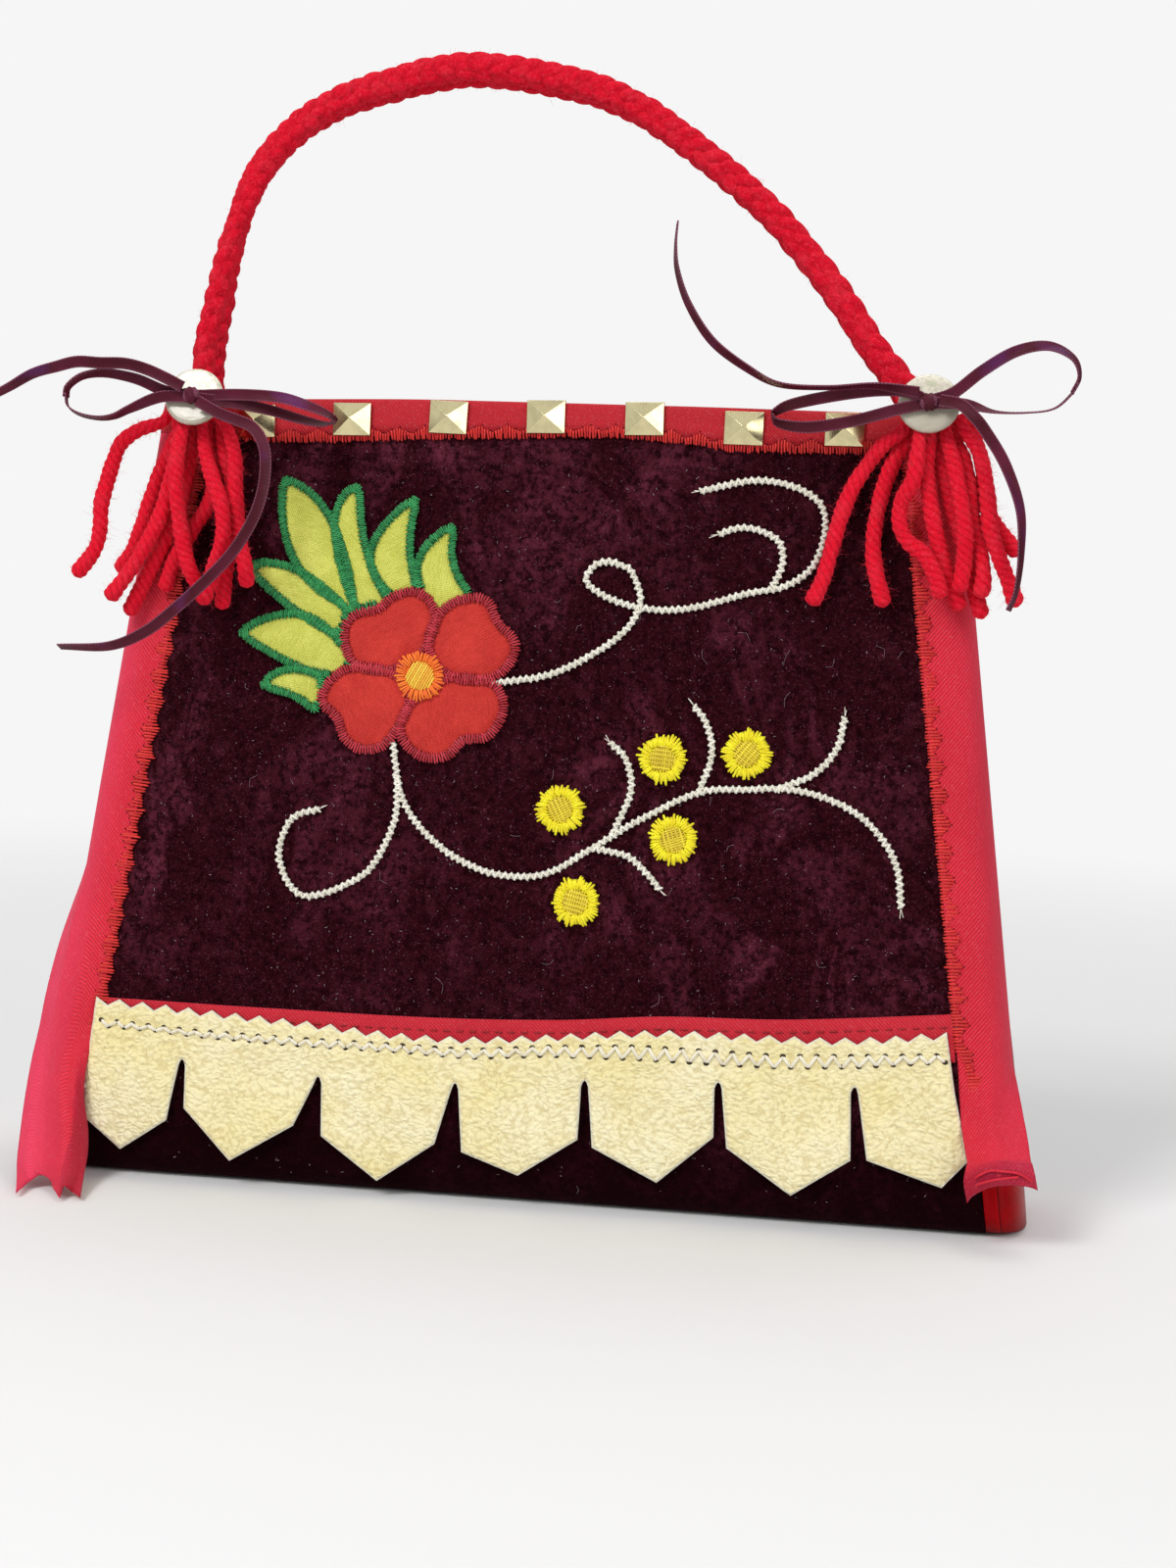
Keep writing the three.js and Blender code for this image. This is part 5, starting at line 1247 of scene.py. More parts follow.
# Loose ends of the side ribbons, as rows from the inner edge to the outer: the left one is
# creased and lies out in two points, and the right one curls up and forward.
LOOSE_ENDS = {
    "left": [
        [(-108.3, -20.5, 66), (-112, -20.9, 66), (-120.6, -18.6, 65), (-124.7, -12, 63.9)],
        [(-109.7, -21.4, 56), (-113.4, -21.8, 56), (-121.9, -19.8, 55), (-126.9, -14.3, 54.1)],
        [(-111.1, -22.3, 46), (-114.8, -22.7, 46), (-123.3, -21, 45.1), (-128.7, -16, 44.2)],
        [(-112.2, -23, 38), (-115.5, -23.6, 38), (-123.9, -21.6, 37.2), (-129.9, -16.8, 36.3)],
        [(-113.9, -25.4, 30.3), (-115.1, -26.6, 30), (-122.4, -24.8, 28.9), (-130.6, -20.5, 27.8)],
        [(-113.6, -28.8, 21.7), (-114.8, -31, 21.5), (-122.2, -29.3, 20.5), (-130.1, -26, 19.4)],
        [(-111.6, -31, 11.9), (-114.2, -37, 12.5), (-121.5, -35.5, 11.5), (-128.8, -32.5, 10.5)],
        [(-109.3, -38, 5.1), (-112.1, -44, 5.3), (-119.4, -42.8, 4.4), (-126.7, -40, 3.5)],
        [(-104.5, -54.4, 0.9), (-108.2, -50, 0.9), (-109.9, -51.5, 2.9), (-109.1, -56.4, 0.9),
         (-113, -50, 1.6), (-117.1, -44.5, 3.5), (-119.8, -43.5, 2.9), (-121.5, -46, 1.5),
         (-121.3, -55.1, 0.9)],
    ],
    "right": [
        [(113, -24.4, 30.3), (119.8, -25.8, 31.2), (127.9, -20.5, 31.4)],
        [(113.9, -28, 25.1), (121.5, -29, 25.8), (129.4, -26, 26)],
        [(115.1, -31.5, 20.5), (122.8, -33, 22.2), (130.3, -31, 21.8)],
        [(114.9, -33.6, 19.5), (122.8, -35.6, 21.6), (130.7, -33.6, 21.4)],
        [(114.5, -34.8, 16.4), (122.9, -36.8, 19.2), (131.5, -34.8, 19.1)],
        [(115.5, -34, 11.3), (116.4, -34.4, 13), (118, -34.8, 14.4), (120, -35.2, 15.8),
         (122.1, -35.4, 16.6), (125.9, -35.6, 17.2), (129.2, -35.2, 16.8), (130.9, -34.6, 16.4),
         (132.2, -34, 15.8)],
    ],
}
# The cut edges of the folds rolled inside the right end, and between them the hollow, a dark sheet of
# painted shade
ROLLED = [
    [(117.2, -36.4, 18.2), (118.2, -37, 19.1), (120.5, -37.4, 20.4), (123.8, -37.6, 20.5),
     (127.6, -37.2, 20.1), (130.9, -35.8, 18)],
    [(117.4, -36.6, 16.4), (118.3, -37.2, 17), (121.1, -37.6, 18.1), (123.4, -37.8, 18.7),
     (126.2, -37.6, 19.2), (127.4, -37.2, 19.3)],
]


def ribbon_rows(name):
    """All rows of a side ribbon, from the binding down to its loose end."""
    side, release = (-1, 76) if name == "left" else (1, 38)
    top = BAG_HEIGHT - BINDING_HEIGHT + 1.5
    rows = [ribbon_row(side, z) for z in np.linspace(top, release + 4, 60)]
    for i, points in enumerate(LOOSE_ENDS[name]):
        row = np.array(points, float)
        if i == len(LOOSE_ENDS[name]) - 1:
            share = np.linspace(0, 8, RIBBON_COLUMNS)
            rows.append(np.stack([np.interp(share, np.arange(9), row[:, k]) for k in range(3)], 1))
        else:
            rows.append(along_row(row, np.linspace(0, lengths(row)[-1], RIBBON_COLUMNS)))
    rows = np.array(rows)
    loose = len(LOOSE_ENDS[name])
    tail = np.stack([smooth(rows[-loose - 1:, k], count=52) for k in range(RIBBON_COLUMNS)], 1)
    return np.concatenate([rows[:-loose - 1], tail])


class BAG_OT_side_ribbons(bpy.types.Operator):
    """Lays the red ribbon down both sides and shapes its loose ends"""

    bl_idname = "bag.side_ribbons"
    bl_label = "Side ribbons"

    def execute(self, context):
        for name, side in (("left", -1), ("right", 1)):
            grid = ribbon_rows(name)
            down = lengths(grid[:, RIBBON_COLUMNS // 2])
            across = np.linspace(0, SIDE_RIBBON_WIDTH, RIBBON_COLUMNS)
            ripple = 0.16 * np.sin(down / 8.3)[:, None] * np.sin(across / 6.1 + 1)[None]
            ripple += 0.12 * np.sin(down / 3.1 + 1)[:, None] * np.exp(-across / 4)[None]
            grid[..., 1] -= np.maximum(ripple, -0.1)
            # Painted shade through the lay: the last few millimetres of the right ribbon, where it
            # curls, and on the left the creased strip by the inner edge, near the end.
            deep = 0.7 * ease(down[-1] - 8.5, down[-1] - 5, down)[:, None] * np.ones_like(across)
            if side < 0:
                folded = 2.2 + 4.6 * ease(down[-1] - 36, down[-1] - 8, down)[:, None]
                deep = 0.55 * ease(folded + 0.4, folded, across) * ease(
                    down[-1] - 44, down[-1] - 34, down)[:, None]
            lay = joined(down[:, None], across, deep)
            cloth = Cloth()
            cloth.grid(grid[:, ::-side], lay[:, ::-side])
            piece = cloth.piece(f"ribbon_{name}", f"ribbon_{name}", "side_ribbon",
                                f"side_ribbon_{name}")
            thicken(piece, RIBBON_THICKNESS, offset=1.0)
        folds = Cloth()
        edges = [smooth(line, count=30) for line in ROLLED]
        # The hollow is a sheet painted dark, as shade, by a lay of ones.
        hollow_shade = np.array([edges[0] * (1 - k) + edges[1] * k + (0, 0.5, 0)
                           for k in np.linspace(0, 1, 6)])
        folds.grid(hollow_shade, np.ones(hollow_shade.shape))
        for line in edges:
            flat, lift = strip_frames(line, (0, -1, 0))
            rings = ring_points(line, flat, lift, np.full(30, 0.28), np.full(30, 0.34), 6)
            folds.tubes(rings, world)
        folds.piece("rolled_folds", "ribbon_right", "side_ribbon")
        return {"FINISHED"}


# The binding's lower edge and the row of studs wander as they do on a hand-set piece.
BINDING_EDGE = [(-84, 194.2), (-73, 194.0), (-56, 194.5), (-35, 195.6), (-15, 196.6), (7, 197.5),
                (21, 197.6), (36, 196.5), (48, 195.0), (66, 195.3), (84, 195.5)]


def binding_foot(x):
    """Height of the binding's lower edge on the front."""
    edge = np.array(BINDING_EDGE)
    return np.interp(x, edge[:, 0], edge[:, 1])


class BAG_OT_binding(bpy.types.Operator):
    """Folds the red ribbon over the mouth"""

    bl_idname = "bag.binding"
    bl_label = "Mouth binding"

    def execute(self, context):
        fold = [(0.78, 0.0), (0.86, 0.35), (0.84, 0.8), (0.7, 0.94), (0.3, 0.985), (-0.4, 1.0),
                (-1.3, 1.0), (-2.1, 0.985), (-2.5, 0.94), (-2.65, 0.8), (-2.68, 0.35), (-2.6, 0.0)]
        foot, top = 196.0, BAG_HEIGHT - 0.45
        loops = []
        for grow, share in fold:
            high = foot + share * (top - foot)
            right = gusset_curve(1, high, grow, 24)
            left = gusset_curve(-1, high, grow, 24)[::-1]
            back = np.linspace(right[-1], left[0], 72)[1:-1]
            front = np.linspace(left[-1], right[0], 72)[1:-1]
            loop = np.vstack([right, back, left, front])
            drop = np.where(loop[:, 1] < -5, binding_foot(loop[:, 0]) - foot, 0.0)
            sag = 1.3 * ease(25, 95, -loop[:, 0]) + 0.4 * ease(30, 95, loop[:, 0])
            loop[:, 2] += drop * (1 - share) - sag * share
            loop[:, 1] += np.where(loop[:, 1] < 0, -1, 1) * 0.12 * np.sin(loop[:, 0] / 6.3 + share)
            loops.append(loop)
        along = lengths(np.vstack([loops[0], loops[0][:1]]))
        lay = joined(along[:-1], lengths(np.array(fold) * (1, 9))[:, None])
        cloth = Cloth()
        cloth.grid(np.array(loops), lay, wrap=True)
        piece = cloth.piece("mouth_binding", "binding", "binding_ribbon", "top_binding")
        thicken(piece, 0.7, offset=0.0)
        return {"FINISHED"}


HEM_TOP = [(-111, 46.4), (-33, 46.4), (8, 48), (37.6, 50.7), (70.5, 52), (111, 55.9)]
FRINGE_TOP = [(-112.3, 46.6), (-60, 44), (-17, 42.3), (36, 47.3), (80, 48.2), (108.4, 51.4)]
FRINGE_SIDES = ([(-114.4, 26), (-113.6, 14.8)], [(109, 12.6), (115.3, 19.7), (111.1, 36.5)])
# Each tab's tip, then the left corner, top and right corner of the slot after it
FRINGE_TABS = [
    ((-103.7, 7.2), (-91.6, 15.6), (-88.2, 31.7), (-87, 19.1)),
    ((-73.8, 6.4), (-57.4, 16.6), (-51.6, 29.6), (-49.9, 14.5)),
    ((-34.7, 3.9), (-20.1, 14.4), (-15.5, 30.3), (-12.9, 12.9)),
    ((2.2, 8.1), (17, 18.2), (18.1, 33.3), (20.8, 16.5)),
    ((37.7, 8.7), (51.5, 21.1), (52.1, 35.1), (54.9, 18.7)),
    ((71.7, 8.1), (86.2, 17.9), (86.3, 36.1), (90.2, 18.2)),
]
HIDE_BACK = 2 * CLEARANCE + RIBBON_THICKNESS


def cloth_lay(x, v):
    """Weave that runs straight across the panel."""
    return joined(x, v, 0.5)


class BAG_OT_hem(bpy.types.Operator):
    """Sews the red ribbon along the top of the fringe"""

    bl_idname = "bag.hem"
    bl_label = "Hem ribbon"

    def execute(self, context):
        top = smooth(HEM_TOP, step=3.0)
        outline = np.vstack([top, top[::-1] - (0, HEM_WIDTH)])
        limit = visible_edge(outline[:, 1]) - CLEARANCE
        outline[:, 0] = np.clip(outline[:, 0], -limit, limit)
        cloth = Cloth()

        def face(x, v, edge):
            return CLEARANCE + RIBBON_THICKNESS - 0.25 * np.exp(-edge / 0.35) + 0.1 * np.sin(x / 7)

        patch(cloth, outline, 1.3, face, lambda x, v, edge: CLEARANCE - 0.3, lay_at=cloth_lay)
        piece = cloth.piece("hem_band", "hem", "binding_ribbon", "hem_ribbon")
        line = even(smooth(HEM_TOP, step=0.5) - (0, 3.2), 3.4)
        heading = tangents(line)
        level = CLEARANCE + RIBBON_THICKNESS
        seam = Cloth()
        threads(seam, raised(line - heading, level), raised(line + heading, level), 0.45, 0.16,
                np.random.default_rng(8))
        seam.piece("hem_stitches", "hem_thread", "binding_ribbon")
        return {"FINISHED"}


def fringe_outline():
    """The fringe's outline: a pinked top, slots with small round heads, and pointed tabs."""
    top = smooth(FRINGE_TOP, step=0.2)
    teeth = round(lengths(top)[-1] / 6.4)
    pinked = even(top, count=2 * teeth + 1)
    pinked[1::2, 1] -= 1.9
    lower = []
    for tip, left, head, right in FRINGE_TABS:
        x, v = head
        lower += [tip, left, (x - 0.9, v - 1.6), (x - 0.45, v - 0.35), (x, v), (x + 0.45, v - 0.35),
                  (x + 0.9, v - 1.6), right]
    return np.vstack([pinked[::-1], FRINGE_SIDES[0], lower, FRINGE_SIDES[1]])


def fringe_face(x, v, edge):
    """Height of the hide's grain side, with its curling tabs and soft wrinkles."""
    swell = 0.16 * np.sin(x / 4.7 + v / 9) * np.sin(v / 2.6 + np.sin(x / 13)) * ease(0, 3, edge)
    swell -= 0.22 * ease(22, 34, v) * np.abs(np.sin((x + 0.5 * v) / 3.3 + np.sin(v / 7))) ** 6
    curl = 1.5 * ease(34, 8, v) * (0.55 + 0.45 * np.sin(x / 11.5 + 0.8))
    pucker = -0.35 * np.exp(-((v - stitch_line(x)) / 1.6) ** 2)
    rim = -0.55 * np.exp(-edge / 0.45)
    return HIDE_BACK + LEATHER_THICKNESS + 0.75 * swell + curl + pucker + rim


def hide_level(x, v):
    """Height of the hide's grain side away from its edges."""
    return fringe_face(x, v, np.full_like(x, 9.0))


STITCH_ROW = [(-111.5, 40.7), (-84.8, 39.3), (-58.5, 39), (-32.5, 39.1), (-11.9, 39), (8.4, 41.3),
              (31, 42.8), (53.4, 42.8), (68.3, 42.7), (85.4, 43.9), (107.2, 45.5)]
STITCH_DROP = [(-111.5, 1.5), (-95, 1.0), (-58, 1.5), (-32, 1.5), (8, 2.1), (31, 3.0), (54, 3.0),
               (68, 2.7), (86, 2.7), (107, 1.6)]


def stitch_line(x, low=False):
    """Height of one of the two rows of needle holes in the hide."""
    row, drop = np.array(STITCH_ROW), np.array(STITCH_DROP)
    level = np.interp(x, row[:, 0], row[:, 1])
    return level - np.interp(x, drop[:, 0], drop[:, 1]) if low else level


class BAG_OT_fringe(bpy.types.Operator):
    """Cuts the cream hide fringe and sews it on"""

    bl_idname = "bag.fringe"
    bl_label = "Hide fringe"

    def execute(self, context):
        outline = fringe_outline()
        cloth = Cloth()
        patch(cloth, outline, 0.95, fringe_face,
              lambda x, v, edge: hide_level(x, v) - LEATHER_THICKNESS)
        piece = cloth.piece("hide_fringe", "hide", "leather", "leather_fringe")
        rng = np.random.default_rng(21)
        across = np.arange(-110.5, 107, 4.25)
        high = np.stack([across, stitch_line(across)], 1)
        low = np.stack([across + 2.1, stitch_line(across + 2.1, True)], 1)
        lines = []
        for i in range(len(across)):
            lines.append((high[i], low[i]))
            if i + 1 < len(across):
                lines.append((low[i], high[i + 1]))
        lines = np.array(lines) + rng.uniform(-0.2, 0.2, (len(lines), 2, 2))
        ends = [raised(line, hide_level(*line.T) - 0.1) for line in (lines[:, 0], lines[:, 1])]
        seam = Cloth()
        threads(seam, *ends, 0.98, 0.5, rng)
        seam.piece("hide_stitches", "cream", "leather")
        # Each needle hole is a small dimple painted near black, as the shade inside it.
        holes = Cloth()
        angle = np.linspace(0, 2 * math.pi, 9)[:-1]
        for spot in np.vstack([high, low]):
            ring = np.array([[math.cos(a) * 0.8, math.sin(a) * 0.66] for a in angle]) + spot
            level = hide_level(*ring.T)
            outer = raised((ring - spot) * 0.3 + spot, level - 0.4)
            holes.tubes(np.stack([outer, raised(ring, level + 0.05)]), on_panel)
        holes.piece("needle_holes", "hole", "leather")
        return {"FINISHED"}


# Flower work


def bowed(start, control, end, step):
    """Points along a bowed line, evenly spaced."""
    start, control, end = (np.array(p, float) for p in (start, control, end))
    share = np.linspace(0, 1, 40)[:, None]
    line = (1 - share) ** 2 * start + 2 * share * (1 - share) * control + share ** 2 * end
    return even(line, step)


def leaf_outline(points, point):
    """A leaf's base, two bowed sides and sharp tip, drawn half of the way to its point."""
    base, bow, tip, other_bow, other_base = points
    tip = (np.array(tip) + point) / 2
    return np.vstack([bowed(base, bow, tip, 0.7), bowed(tip, other_bow, other_base, 0.7)[1:]])


def grown(outline, distance, drawn=1.85):
    """The outline moved outwards by distance, its sharp corners drawn out by up to drawn."""
    before = unit(outline - np.roll(outline, 1, 0))
    after = unit(np.roll(outline, -1, 0) - outline)
    x, y = outline.T
    turning = np.sign(x @ np.roll(y, -1) - y @ np.roll(x, -1))
    sides = [np.stack([d[:, 1], -d[:, 0]], 1) * turning for d in (before, after)]
    total = sides[0] + sides[1]
    reach = np.minimum(2 / np.maximum(np.linalg.norm(total, axis=1), 0.1), drawn)
    return outline + unit(total) * (distance * reach)[:, None]


LEAVES = [
    [(-54.2, 154.5), (-68.8, 162.1), (-66.8, 180.8), (-54, 177.8), (-49.6, 151.4)],
    [(-47.3, 152), (-58.4, 175.7), (-50.5, 179.5), (-48.8, 164.7), (-41.1, 153.5)],
    [(-38.7, 156.4), (-50.2, 165.2), (-36, 175.7), (-37.5, 168.4), (-33.6, 157.6)],
    [(-25.8, 151.8), (-37.1, 163), (-25.4, 169.7), (-26.4, 163.4), (-19.6, 155.6)],
    [(-51.3, 149.8), (-64.3, 162.6), (-74.9, 159.8), (-65.7, 151), (-52.9, 145.2)],
    [(-50.2, 137.1), (-59.3, 154.4), (-74.6, 144), (-60.1, 133.9), (-53.2, 135)],
    [(-57, 132), (-65.2, 135.4), (-68.2, 131.5), (-59.8, 128.8), (-57.7, 125.4)],
]
LEAF_POINTS = [(-68.8, 184.3), (-49.1, 183.1), (-33.4, 180.3), (-23.3, 173.6), (-76, 161.1),
               (-78.8, 143.3), (-72.3, 129.8)]
PETALS = [
    [(-28.3, 150.7), (-32.2, 154.6), (-37.2, 153.4), (-41.5, 150), (-47.4, 148.2),
     (-49.4, 144), (-46.5, 137.5), (-37.7, 136.9), (-31.4, 141), (-28.6, 146)],
    [(-44.8, 134.8), (-50.5, 133.2), (-54.6, 127.6), (-50.5, 123.5), (-47.9, 117.7),
     (-43, 116), (-38.1, 118.7), (-33.9, 127.7), (-37.2, 133.2)],
    [(-31.9, 125.3), (-33.3, 119.5), (-28.3, 114.8), (-22.5, 115.4), (-18.4, 119.7),
     (-12.4, 120.6), (-9.2, 126.8), (-12.2, 132.2), (-22, 132.8), (-26.5, 129.8)],
    [(-25.4, 148.8), (-21, 152.7), (-14.6, 153.4), (-11.4, 147.8), (-7, 143.6),
     (-8.2, 138.9), (-12.5, 135.6), (-19.5, 135.2), (-25, 138), (-27.2, 143.2)],
]
FLOWER = (-30.2, 134.2)
BERRIES = [(8, 101.8), (33.6, 115.9), (55.1, 118.2), (37.5, 95.6), (13.2, 78.5)]
VINE = [
    [(-11.4, 133.2), (3.4, 136.1), (15.7, 142.7), (23, 149), (25.9, 155.8), (23.6, 162.7),
     (20.9, 164.6), (17.1, 165.5), (13.6, 164.3), (11.7, 160.6), (16.3, 156.9), (25.8, 154.1),
     (37.8, 154.3), (53.7, 158.9), (62.3, 160.9), (69, 165.9), (71.8, 174.4), (70.7, 181.5),
     (64, 185.9), (53.6, 187.3), (39.8, 184.2)],
    [(59.3, 160.4), (61.5, 166.6), (60.5, 172), (55.4, 174.8), (50, 175.2), (45.1, 173.4)],
]
STEM = [
    [(-36.5, 117), (-34.2, 104.9), (-29.2, 96.4), (-19.8, 88.8), (-8, 84.4), (4.7, 85.1),
     (15.8, 91.7), (28, 99.8), (43.1, 107.8), (55, 109.2), (67.3, 109.7), (79.8, 106.4),
     (88.7, 100), (94, 91.5), (95.5, 81.5)],
    [(-34.9, 108), (-35.1, 96.6), (-40.7, 84.4), (-49, 78.6), (-57.5, 76), (-62.6, 79.3),
     (-65.4, 87.3), (-62.2, 95.9), (-55, 98.8)],
    [(17, 92.4), (25.9, 90.7), (31.6, 86.2), (34.6, 82.7)],
    [(21.8, 96), (25.9, 107.2), (24.2, 115.3), (19.9, 119.6)],
    [(43.2, 107.6), (46.1, 117.6), (44.4, 125.2), (41, 129.8)],
    [(63.2, 109.7), (72.1, 113.9), (77.6, 120.6), (79.2, 128.6)],
]
CLOTH_TOP = CLEARANCE + 0.6


def puffed(x, v, edge):
    """The height of a sewn patch, a little full between its edges."""
    return CLOTH_TOP - 0.25 + 0.55 * ease(0, 5, edge) + 0.12 * np.sin(x / 2.3 + v / 3.1)


def keep_clear(starts, ends, outlines):
    """Only the stitches whose middles lie outside the outlines."""
    middle = (starts[:, :2] + ends[:, :2]) / 2
    keep = ~np.any([inside(middle, outline) for outline in outlines], axis=0)
    return starts[keep], ends[keep]


def stay_out(starts, ends, outline, limit):
    """Only the stitches that reach no further into an outline than limit."""
    deep = [from_edge(p[:, :2], outline) * inside(p[:, :2], outline) for p in (starts, ends)]
    keep = np.maximum(*deep) < limit
    return starts[keep], ends[keep]


def applique(outlines, border, cloth_name, edge_name, slots, nodes, rng, above=(), pitch=1.0,
             overlap=-0.1, points=(), teeth=0.5, cover=0.8):
    """Cloth patches with stitching over their edges and out to any points. Stitches inside
    above are left out."""
    fabric, edging = Cloth(), Cloth()
    pitch *= sizes().pitch
    for i, outline in enumerate(outlines):
        turn = rng.uniform(0, math.pi)

        def slanted(x, v, turn=turn):
            return joined(x * math.cos(turn) + v * math.sin(turn),
                          v * math.cos(turn) - x * math.sin(turn), 0.5)

        edge = grown(outline, 0.45 * border)
        patch(fabric, even(np.vstack([edge, edge[:1]]), 0.8)[:-1], 0.8, puffed,
              lambda x, v, edge: CLEARANCE, lay_at=slanted)
        line = grown(outline, 0.5 * border, 1.0)
        line = even(np.vstack([line, line[:1]]), 0.5)[:-1]
        others = [grown(o, overlap, 1.0) for k, o in enumerate(outlines) if k != i] + list(above)
        lift = 0.34 + 0.12 * i / len(outlines)
        runs = [(line, border, True)]
        if len(points):
            low = outline[np.argmin(np.linalg.norm(outline - points[i], axis=1))]
            heading = unit(np.array(points[i]) - low)
            runs.append((even([low - heading * 0.5, points[i]], 0.4),
                         np.linspace(1.5, 0.8, 12) * border, False))
        for path, wide, closed in runs:
            if np.ndim(wide):
                wide = np.interp(lengths(path), np.linspace(0, lengths(path)[-1], len(wide)), wide)
            # The underlay, whose tint of -1 paints it dark as the shade between the top stitches.
            starts, ends = satin(path, wide * 0.78, 0.8, CLOTH_TOP - 0.25, rng, closed=closed)
            starts, ends = stay_out(starts, ends, outline, 0.1)
            threads(edging, *keep_clear(starts, ends, others), 0.95, 0.3, rng, around=4, tint=-1)
            starts, ends = satin(path, wide * 1.1, pitch, CLOTH_TOP + 0.05, rng, closed=closed,
                                 ragged=0.16, slant=0.1, teeth=teeth)
            starts, ends = stay_out(starts, ends, outline, 0.75)
            threads(edging, *keep_clear(starts, ends, others), cover * pitch, lift, rng)
    sewn = fabric.piece(f"{cloth_name}_patches", cloth_name, slots[0], nodes[0])
    edging.piece(f"{edge_name}_stitches", edge_name, slots[1], nodes[1])
    points = np.vstack(outlines)


class BAG_OT_leaves(bpy.types.Operator):
    """Sews the seven leaves on round the flower"""

    bl_idname = "bag.leaves"
    bl_label = "Leaves"

    def execute(self, context):
        petals = [grown(smooth_ring(p, 0.7), sizes().petal_border) for p in PETALS]
        outlines = [leaf_outline(*pair) for pair in zip(LEAVES, LEAF_POINTS)]
        applique(outlines, sizes().leaf_border, "leaf", "leaf_edge",
                 ("leaf_cloth", "leaf_thread"), ("leaf_fabric", "leaf_border"),
                 np.random.default_rng(31), above=petals, pitch=0.64, overlap=-1.2,
                 points=LEAF_POINTS)
        return {"FINISHED"}


def disc_threads(cloth, centre, low, high, count, width, out, lift, rng, ragged=0.1):
    """Stitches that run out from a middle like spokes."""
    angle = (np.arange(count) + rng.uniform(-0.25, 0.25, count)) / count * 2 * math.pi
    near = low * (1 + 0.5 * ragged * rng.uniform(-1, 1, count))
    far = high * (1 + ragged * rng.uniform(-0.7, 0.7, count))
    heading = np.stack([np.cos(angle), np.sin(angle)], 1)
    swirl = np.stack([-heading[:, 1], heading[:, 0]], 1) * rng.uniform(-0.25, 0.25, count)[:, None]
    starts = raised(centre + heading * near[:, None] - swirl, out)
    ends = raised(centre + heading * far[:, None] + swirl, out)
    threads(cloth, starts, ends, width, lift, rng)


def filling(cloth, centre, turn, half, gap, radius, ragged, level, width, lift, rng):
    """Parallel stitches at an angle that fill a circle."""
    lean = np.array([math.cos(turn), math.sin(turn)])
    side = np.array([-lean[1], lean[0]])
    across = np.arange(-half, half + 0.01, gap)
    reach = np.sqrt(radius ** 2 - across ** 2) * rng.uniform(*ragged, len(across))
    middle = centre + across[:, None] * side
    threads(cloth, raised(middle - lean * reach[:, None], level),
            raised(middle + lean * reach[:, None], level), width, lift, rng)


def dome(cloth, centre, profile, tint=0.3):
    """A low round core, from a profile of radius and height."""
    angle = turns(36)
    rings = np.array([joined(centre[0] + radius * np.cos(angle),
                             centre[1] + radius * np.sin(angle), height)
                      for radius, height in profile])
    cloth.tubes(rings, on_panel, joined(np.zeros(rings.shape[:2]), 0.0, tint))


class BAG_OT_flower(bpy.types.Operator):
    """Sews on the four petals and works the flower's ring and heart"""

    bl_idname = "bag.flower"
    bl_label = "Flower"

    def execute(self, context):
        rng = np.random.default_rng(32)
        applique([smooth_ring(p, 0.7) for p in PETALS], sizes().petal_border, "petal",
                 "petal_edge", ("petal_cloth", "petal_thread"),
                 ("petal_fabric", "petal_border"), rng, pitch=0.86, teeth=0.22, cover=0.74)
        centre = np.array(FLOWER)
        level = CLOTH_TOP + 0.35
        ring = Cloth()
        dome(ring, centre, [(3.6, 0.3), (6.1, 0.3), (6.0, level), (3.7, level)])
        disc_threads(ring, centre, 3.7, 6.5, 46, 0.64, level, 0.4, rng, 0.12)
        ring.piece("ring_stitches", "ring", "ring_thread", "flower_ring")
        heart = Cloth()
        dome(heart, centre,
             [(3.8, 0.3), (3.8, level - 0.1), (2.0, level + 0.1), (0.1, level + 0.15)])
        filling(heart, centre, 1.1, 3.5, 0.64, 4.0, (0.94, 1.04), level, 0.6, 0.4, rng)
        heart.piece("heart_stitches", "heart", "centre_thread", "flower_centre")
        return {"FINISHED"}


class BAG_OT_berries(bpy.types.Operator):
    """Works the five round yellow berries"""

    bl_idname = "bag.berries"
    bl_label = "Berries"

    def execute(self, context):
        rng = np.random.default_rng(33)
        for i, centre in enumerate(BERRIES):
            centre = np.array(centre)
            ring = Cloth()
            profile = [(0.2, 0.3), (5.8, 0.3), (5.5, 0.9), (4.8, 1.2), (3.6, 0.9), (0.2, 0.8)]
            dome(ring, centre, profile, 0.6)
            disc_threads(ring, centre, 3.4, 6.25, 48, 0.66, 0.75, 0.7, rng, 0.16)
            disc_threads(ring, centre, 3.4, 5.3, 40, 0.6, 0.95, 0.6, rng, 0.12)
            disc_threads(ring, centre, 3.15, 3.75, 26, 0.4, 1.45, 0.1, rng, 0.1)
            ring.piece(f"berry_ring_{i + 1}", "berry", "berry_thread", f"berry_{i + 1}")
            heart = Cloth()
            for turn, gap, height in ((0.5, 0.62, 1.2), (2.05, 1.1, 1.3)):
                filling(heart, centre, turn + i, 3.2, gap, 3.45, (0.95, 1.05), height, 0.56, 0.2,
                        rng)
            heart.piece(f"berry_middle_{i + 1}", "berry_heart", "berry_thread")
        return {"FINISHED"}


